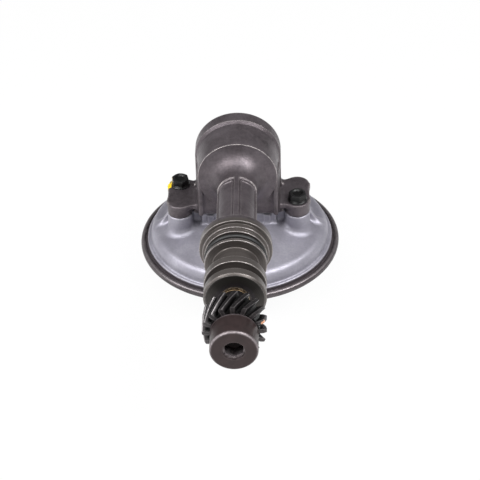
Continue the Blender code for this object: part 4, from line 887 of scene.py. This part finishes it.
# The section is carried along the shaft and turned by the helix; its ends shrink to a chamfer, close on the
# hub, and the hub runs on to the rear. The bore closes the loop.
def makeGear():
    angles, sizes, wearAndHighlight, pitch, root = toothSection()
    front, rear, hub, hubRear = gear["front"], gear["rear"], gear["hub"], gear["hubRear"]
    width, chamfer = rear - front, gear["endChamfer"]
    places = np.concatenate([[0.0, chamfer], np.linspace(chamfer, width - chamfer, gear["slices"])[1:-1],
                             [width - chamfer, width]])
    turn = angles + (places * math.tan(math.radians(gear["helix"])) / pitch)[:, None]
    isEnd = (places == 0) | (places == width)
    shrink = chamfer * isEnd[:, None]
    size = np.minimum(sizes, np.maximum(gear["tip"] - shrink, root)) - shrink * 0.3 * (sizes > root + 0.5)
    rows = [(turn[0], gear["bore"], front, 0.0)]
    rows += [(turn[k], size[k], front + place, np.maximum(wearAndHighlight, 0.25 * isEnd[k]))
             for k, place in enumerate(places)]
    rows += [(turn[-1], radius, place, wear) for radius, place, wear in (
        (hub + 0.4, rear, 0.0), (hub, rear + 0.4, 0.0), (hub, hubRear - 0.4, 0.0), (hub - 0.4, hubRear, 1.0),
        (gear["bore"], hubRear, 0.0))]
    turn, size, along, wearAndHighlight = (np.stack([row[n] * np.ones(len(angles)) for row in rows]) for n in range(4))
    points = aroundLine(size, turn, along) + (0, 0, axleHeight)
    darkened = smoothStep((gear["tip"] - 0.7 - size) / 2.0) * (size > hub + 1)
    makePiece("driveGear", points, gridFaces(len(rows), len(angles), True), gearSteel, "shaft",
              ("drive_gear",), {"wearAndHighlight": wearAndHighlight, "darkened": darkened}, sharpAngle=28)


makeGear()


# End collar with its hexagon socket

collar = {"steps": 240, "radius": 13.8, "front": -185.1, "rear": -168.65, "chamfer": 0.9, "flats": 10.4,
          "depth": 9.5, "drillCone": 2.4, "mouth": 6.25, "counterbore": 1.6}


# Radius of a hexagon at an angle, with a corner straight up and straight down.
def hexRadius(angle, flats):
    sector = np.mod(angle, np.pi / 3) - np.pi / 6
    return flats / 2 / np.cos(sector)


# Rings of one closed surface: outside, chamfer, face, mouth cone, hexagon walls and the drill cone at the
# bottom. Inside the socket the lower walls are made pale, a painted highlight; outside the edge is paler most
# on top.
def makeCollar():
    angle = fullTurn(collar["steps"])
    front, rear, size, cut = (collar[key] for key in ("front", "rear", "radius", "chamfer"))
    flat, mouth, depth = hexRadius(angle, collar["flats"]), collar["mouth"], collar["depth"]
    step = front + collar["counterbore"]
    rings = [(0.01, rear, 0), (size - 0.5, rear, 0.3), (size - 0.15, rear - 0.15, 0.8), (size, rear - 0.5, 0.3)]
    rings += [(size, rear - 0.5 - (rear - 0.5 - front - cut) * t, 0) for t in np.linspace(0, 1, 14)[1:-1]]
    rings += [(size, front + cut, 0.5), (size - cut * 0.5, front + cut * 0.3, 1.0), (size - cut, front, 0.2)]
    rings += [(size - cut - (size - cut - mouth - 0.3) * t, front, 0) for t in np.linspace(0, 1, 12)[1:-1]]
    rings += [(mouth + 0.15, front, 0.1), (mouth, front + 0.15, 0.15), (mouth - 0.05, step, 0.3),
              (flat + 0.02, step + 0.5, 0.5), (flat, step + 0.8, 0.9), (flat, front + depth * 0.6, 0.8),
              (flat, front + depth, 0), (flat * 0.45, front + depth + collar["drillCone"] / 2, 0),
              (0.01, front + depth + collar["drillCone"], 0)]
    radius, along, wearAndHighlight = ringTables(rings, collar["steps"])
    # Painted highlight: the lower walls inside the socket are pale where the light reaches them.
    lower = 0.35 + 0.65 * smoothStep(0.5 - 1.5 * np.cos(angle))
    upper = 0.4 + 0.6 * smoothStep(0.3 + 1.2 * np.cos(angle))
    wearAndHighlight = np.where(radius < mouth, np.minimum(wearAndHighlight * 1.3, 1.0) * lower, wearAndHighlight * upper)
    points = aroundLine(radius, angle, along) + (0, 0, axleHeight)
    makePiece("driveCollar", points, tubeFaces(*radius.shape), brownSteel, "shaft",
              ("drive_collar",), {"wearAndHighlight": wearAndHighlight}, sharpAngle=35)


makeCollar()


# Flange bolts

bolt = {"steps": 144, "flats": 10.0, "end": 37.2, "seat": 57.05, "flange": 6.15, "flangeThick": 1.3,
        "head": 5.3, "shank": 3.0, "dish": 3.5, "dishDepth": 0.8, "turn": 12.0}


# Rings of one closed surface: shank, flange, hexagon sides, the chamfer that scallops their tops, and the dish.
def makeBolt(name, across, depth, replaced):
    angle = fullTurn(bolt["steps"])
    flat = hexRadius(angle + math.radians(bolt["turn"]), bolt["flats"])
    shank, flange, hollow, end, seat = (bolt[key] for key in ("shank", "flange", "dish", "end", "seat"))
    top, shoulder = seat + bolt["head"], seat + bolt["flangeThick"]
    floor = top - bolt["dishDepth"]
    inner = bolt["flats"] / 2 - 0.15
    drop = (flat - inner) * 0.6
    radius, level, wearAndHighlight = ringTables([
        (0.01, end, 0), (shank - 0.6, end, 0), (shank, end + 0.6, 0), (shank, seat, 0),
        (flange - 0.15, seat, 0), (flange, seat + 0.15, 0.8), (flange, seat + 0.55, 1.0),
        (flange - 0.25, seat + 0.8, 0.6),
        (flat + 0.35, shoulder, 0), (flat, shoulder + 0.4, 0), (flat, top - drop - 0.25, 0.2),
        (flat - 0.08, top - drop, 0.8), (inner, top - 0.05, 0.7), (hollow + 0.2, top, 0.5),
        (hollow, top - 0.12, 0.4), (hollow - bolt["dishDepth"], floor, 0), (0.01, floor, 0)], bolt["steps"])
    points = np.stack([across + radius * np.sin(angle), depth + radius * np.cos(angle), level], axis=-1)
    makePiece(name, points.reshape(-1, 3), tubeFaces(*radius.shape), blackBolt, "pump_body",
              (replaced,), {"wearAndHighlight": wearAndHighlight}, sharpAngle=30)


makeBolt("flangeBoltLeft", -37.4, 8.9, "flange_bolt_left")
makeBolt("flangeBoltRight", 37.4, -8.9, "flange_bolt_right")


# Small turned pieces

axleCentre = (0, 0, axleHeight)
smallTurned = {
    "mountingRing": {
        "node": "mounting_o_ring", "material": rubber, "slot": "rubber", "steps": 192, "centre": axleCentre,
        "outline": [(15.75, -103.5, 1.48), (15.75, -100.5, 1.48), (18.75, -100.5, 1.48),
                    (18.75, -103.5, 1.48)]},
    "frontBush": {
        "node": "front_bush", "material": bronze, "slot": "bronze", "steps": 128, "centre": axleCentre,
        "outline": [(7.62, -138.8, 0.3), (8.4, -138.8, 0.25), (8.4, -116.8, 0.2), (7.62, -116.8, 0.2)]},
    "thrustWasher": {
        "node": "thrust_washer", "material": oiledBronze, "slot": "bronze", "steps": 128, "centre": axleCentre,
        "outline": [(7.65, -140.85, 0.2), (8.2, -140.85, 0.25), (8.2, -139.35, 0.25), (7.65, -139.35, 0.2)]},
    "rearCap": {
        "node": "rear_cap", "material": groundSteel, "slot": "plain_steel", "steps": 160, "centre": axleCentre,
        "outline": [(0, 10.75, 0), (17.0, 10.75, 1.0), (18.2, 9.55, 0.6), (22.35, 9.55, 0.2),
                    (22.35, 11.75, 0.5), (19.4, 11.75, 0.9), (18.2, 12.95, 1.0), (0, 12.95, 0)]},
    "inletNozzle": {
        "node": "inlet_nozzle", "material": groundSteel, "slot": "plain_steel", "steps": 96,
        "centre": (-dish["valveAcross"], 0, dish["nozzleLevel"]),
        "outline": [(2.6, 52.15, 0.1), (4.0, 52.15, 0.2), (4.0, 59.65, 0), (6.0, 59.65, 0.3), (6.0, 61.65, 0.3),
                    (4.0, 61.65, 0.3), (4.0, 68.0, 0), (4.8, 68.0, 0.15), (4.0, 71.0, 0), (4.0, 74.0, 0),
                    (4.8, 74.0, 0.15), (4.0, 77.0, 0), (4.0, 80.0, 0), (4.8, 80.0, 0.15), (4.0, 83.0, 0),
                    (3.9, 84.0, 0.3), (2.6, 84.0, 0.2)]},
}


def makeSmallTurned():
    for name, look in smallTurned.items():
        capped = look["outline"][0][0] == 0
        outline = finer(roundCorners(look["outline"], closed=not capped), 2.0, not capped)
        points, faces = turnedShape(outline, look["steps"], look["centre"])
        wearAndHighlight = outlineWear(outline, 0.3)
        if capped:
            wearAndHighlight[[0, -1]] = 0
        makePiece(name, points, faces, look["material"], "pump_body", (look["node"],),
                  {"wearAndHighlight": ringMarks(wearAndHighlight, look["steps"], capped)}, sharpAngle=45)


makeSmallTurned()


# Valve springs

coil = {"radius": 3.1, "wire": 0.35, "turns": 2.5, "turnSteps": 48, "wireSteps": 14, "travel": 1.2}


# Round wire along a helix: its middle goes round at the coil's radius while it climbs evenly from one end
# of the CAD spring to the other, and each ring of the wire stands in the plane through the coil's axis.
def makeSpring(name, node, across):
    low, high = (np.array(corner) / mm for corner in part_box(node))
    centre = (across, dish["valveAlong"])
    share = np.linspace(0, 1, round(coil["turns"] * coil["turnSteps"]) + 1)[:, None]
    turn = 2 * np.pi * coil["turns"] * share
    around = fullTurn(coil["wireSteps"])[None, :]
    radius = coil["radius"] + coil["wire"] * np.cos(around)
    climb = high[2] - low[2] - 2 * coil["wire"]
    level = low[2] + coil["wire"] + climb * share + coil["wire"] * np.sin(around)
    points = np.stack([centre[0] + radius * np.cos(turn), centre[1] + radius * np.sin(turn), level], axis=-1)
    piece = makePiece(name, points.reshape(-1, 3), tubeFaces(*level.shape), groundSteel, "pump_body",
                      (node,))
    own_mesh(piece)


makeSpring("inletValveSpring", "inlet_valve_spring", -dish["valveAcross"])
makeSpring("outletValveSpring", "outlet_valve_spring", dish["valveAcross"])


# Carried-over nodes

nodeMaterials = {
    "housing_gasket": fibre, "rear_bush": bronze, "inlet_valve_disc": rubber, "inlet_valve_cage": groundSteel,
    "outlet_valve_seat": bronze, "outlet_valve_disc": rubber, "diaphragm": rubber, "upper_plate": groundSteel,
    "lower_plate": groundSteel, "clamp_nut": groundSteel, "connecting_rod": lightAlloy,
    "rod_bearing": groundSteel, "drive_shaft": groundSteel, "eccentric": groundSteel,
    "retaining_ring": groundSteel, "gear_pin": groundSteel,
}

for nodeName, nodeMaterial in nodeMaterials.items():
    for place in cadNodes[nodeName].material_slots:
        place.material = nodeMaterial
print("carried-over nodes finished:", len(nodeMaterials))


# Floor, light and camera

studio = {
    "floor": "d2d2d2",
    "floorHalf": 6.0,  # in metres
    "floorLift": 0.96,
    "skyWhite": 1.0,
    "skyFill": 0.27,
    "lamps": (  # name, place, target, width and depth in millimetres, power in watts
        ("overhead", (-60, -300, 930), (0, -30, 50), 600, 300, 4.6),
        ("overLeft", (-600, -290, 790), (0, -30, 50), 600, 300, 6.9),
        ("overRight", (560, -310, 790), (0, -30, 50), 600, 300, 10.2),
        ("left", (-950, -230, 420), (0, -60, 60), 300, 800, 3.7),
        ("front", (0, -1250, 760), (0, -100, 60), 700, 300, 0.6),
    ),
}


# The floor glows by a share for the camera only, so that it comes out white under the pump's soft shadow.
def makeFloor():
    mesh = bpy.data.meshes.new("floor")
    half = studio["floorHalf"]
    corners = [(x * half, y * half, 0) for x, y in ((-1, -1), (1, -1), (1, 1), (-1, 1))]
    mesh.from_pydata(corners, [], [(0, 1, 2, 3)])
    floor = addObject("floor", mesh)
    material, nodes = newMaterial("paper floor")
    nodes.fill(nodes.shader, {"Base Color": studio["floor"], "Roughness": 0.9})
    glow = nodes.add("Emission", 0, {"Color": (1, 1, 1, 1), "Strength": 1.0})
    share = nodes.combine(nodes.add("LightPath", "Is Camera Ray"), studio["floorLift"])
    mix = nodes.add("MixShader", 0, {0: share, 1: nodes.shader.outputs[0], 2: glow})
    nodes.fill(nodes.tree.nodes["Material Output"], {"Surface": mix})
    mesh.materials.append(material)


# White to the camera, and a dimmer even light for everything else.
def makeWorld():
    world = bpy.data.worlds.new("studio")
    bpy.context.scene.world = world
    nodes = Nodes(world)
    path = nodes.add("LightPath", 0).node.outputs
    seen = nodes.combine(path["Is Camera Ray"], path["Is Transmission Ray"], "ADD")
    strength = nodes.add("MapRange", "Result", {"Value": seen, "To Min": studio["skyFill"],
                                                "To Max": studio["skyWhite"]})
    nodes.fill(nodes.tree.nodes["Background"], {"Color": (1, 1, 1, 1), "Strength": strength})


def makeLamps():
    for name, place, target, width, depth, power in studio["lamps"]:
        light = bpy.data.lights.new(name, "AREA")
        light.shape = "RECTANGLE"
        light.size = width * mm
        light.size_y = depth * mm
        light.energy = power
        lamp = addObject(name, light)
        lamp.location = Vector(place) * mm
        lamp.rotation_euler = (Vector(target) - Vector(place)).to_track_quat("-Z", "Y").to_euler()


# The camera stands where the photograph's perspective puts it: its height angle, its turn and its tilt were
# found from the round edges of the covers and the stem.
view = {"lens": 150.0, "film": 36.0, "place": (29.0, -1032.78, 806.04), "raise": 37.32, "turn": -1.61,
        "roll": -1.63, "near": 0.05, "far": 50.0}


def makeCamera():
    data = bpy.data.cameras.new("camera")
    data.lens, data.sensor_width = view["lens"], view["film"]
    data.clip_start, data.clip_end = view["near"], view["far"]
    camera = addObject("camera", data)
    tilt = Matrix.Rotation(math.radians(90 - view["raise"]), 3, "X")
    turn = Matrix.Rotation(-math.radians(view["turn"]), 3, "Z")
    roll = Matrix.Rotation(math.radians(view["roll"]), 3, "Z")
    camera.rotation_euler = (turn @ tilt @ roll).to_euler()
    camera.location = Vector(view["place"]) * mm
    bpy.context.scene.camera = camera


makeFloor()
makeWorld()
makeLamps()
makeCamera()
bpy.context.scene.view_settings.view_transform = "Standard"
print("studio ready")
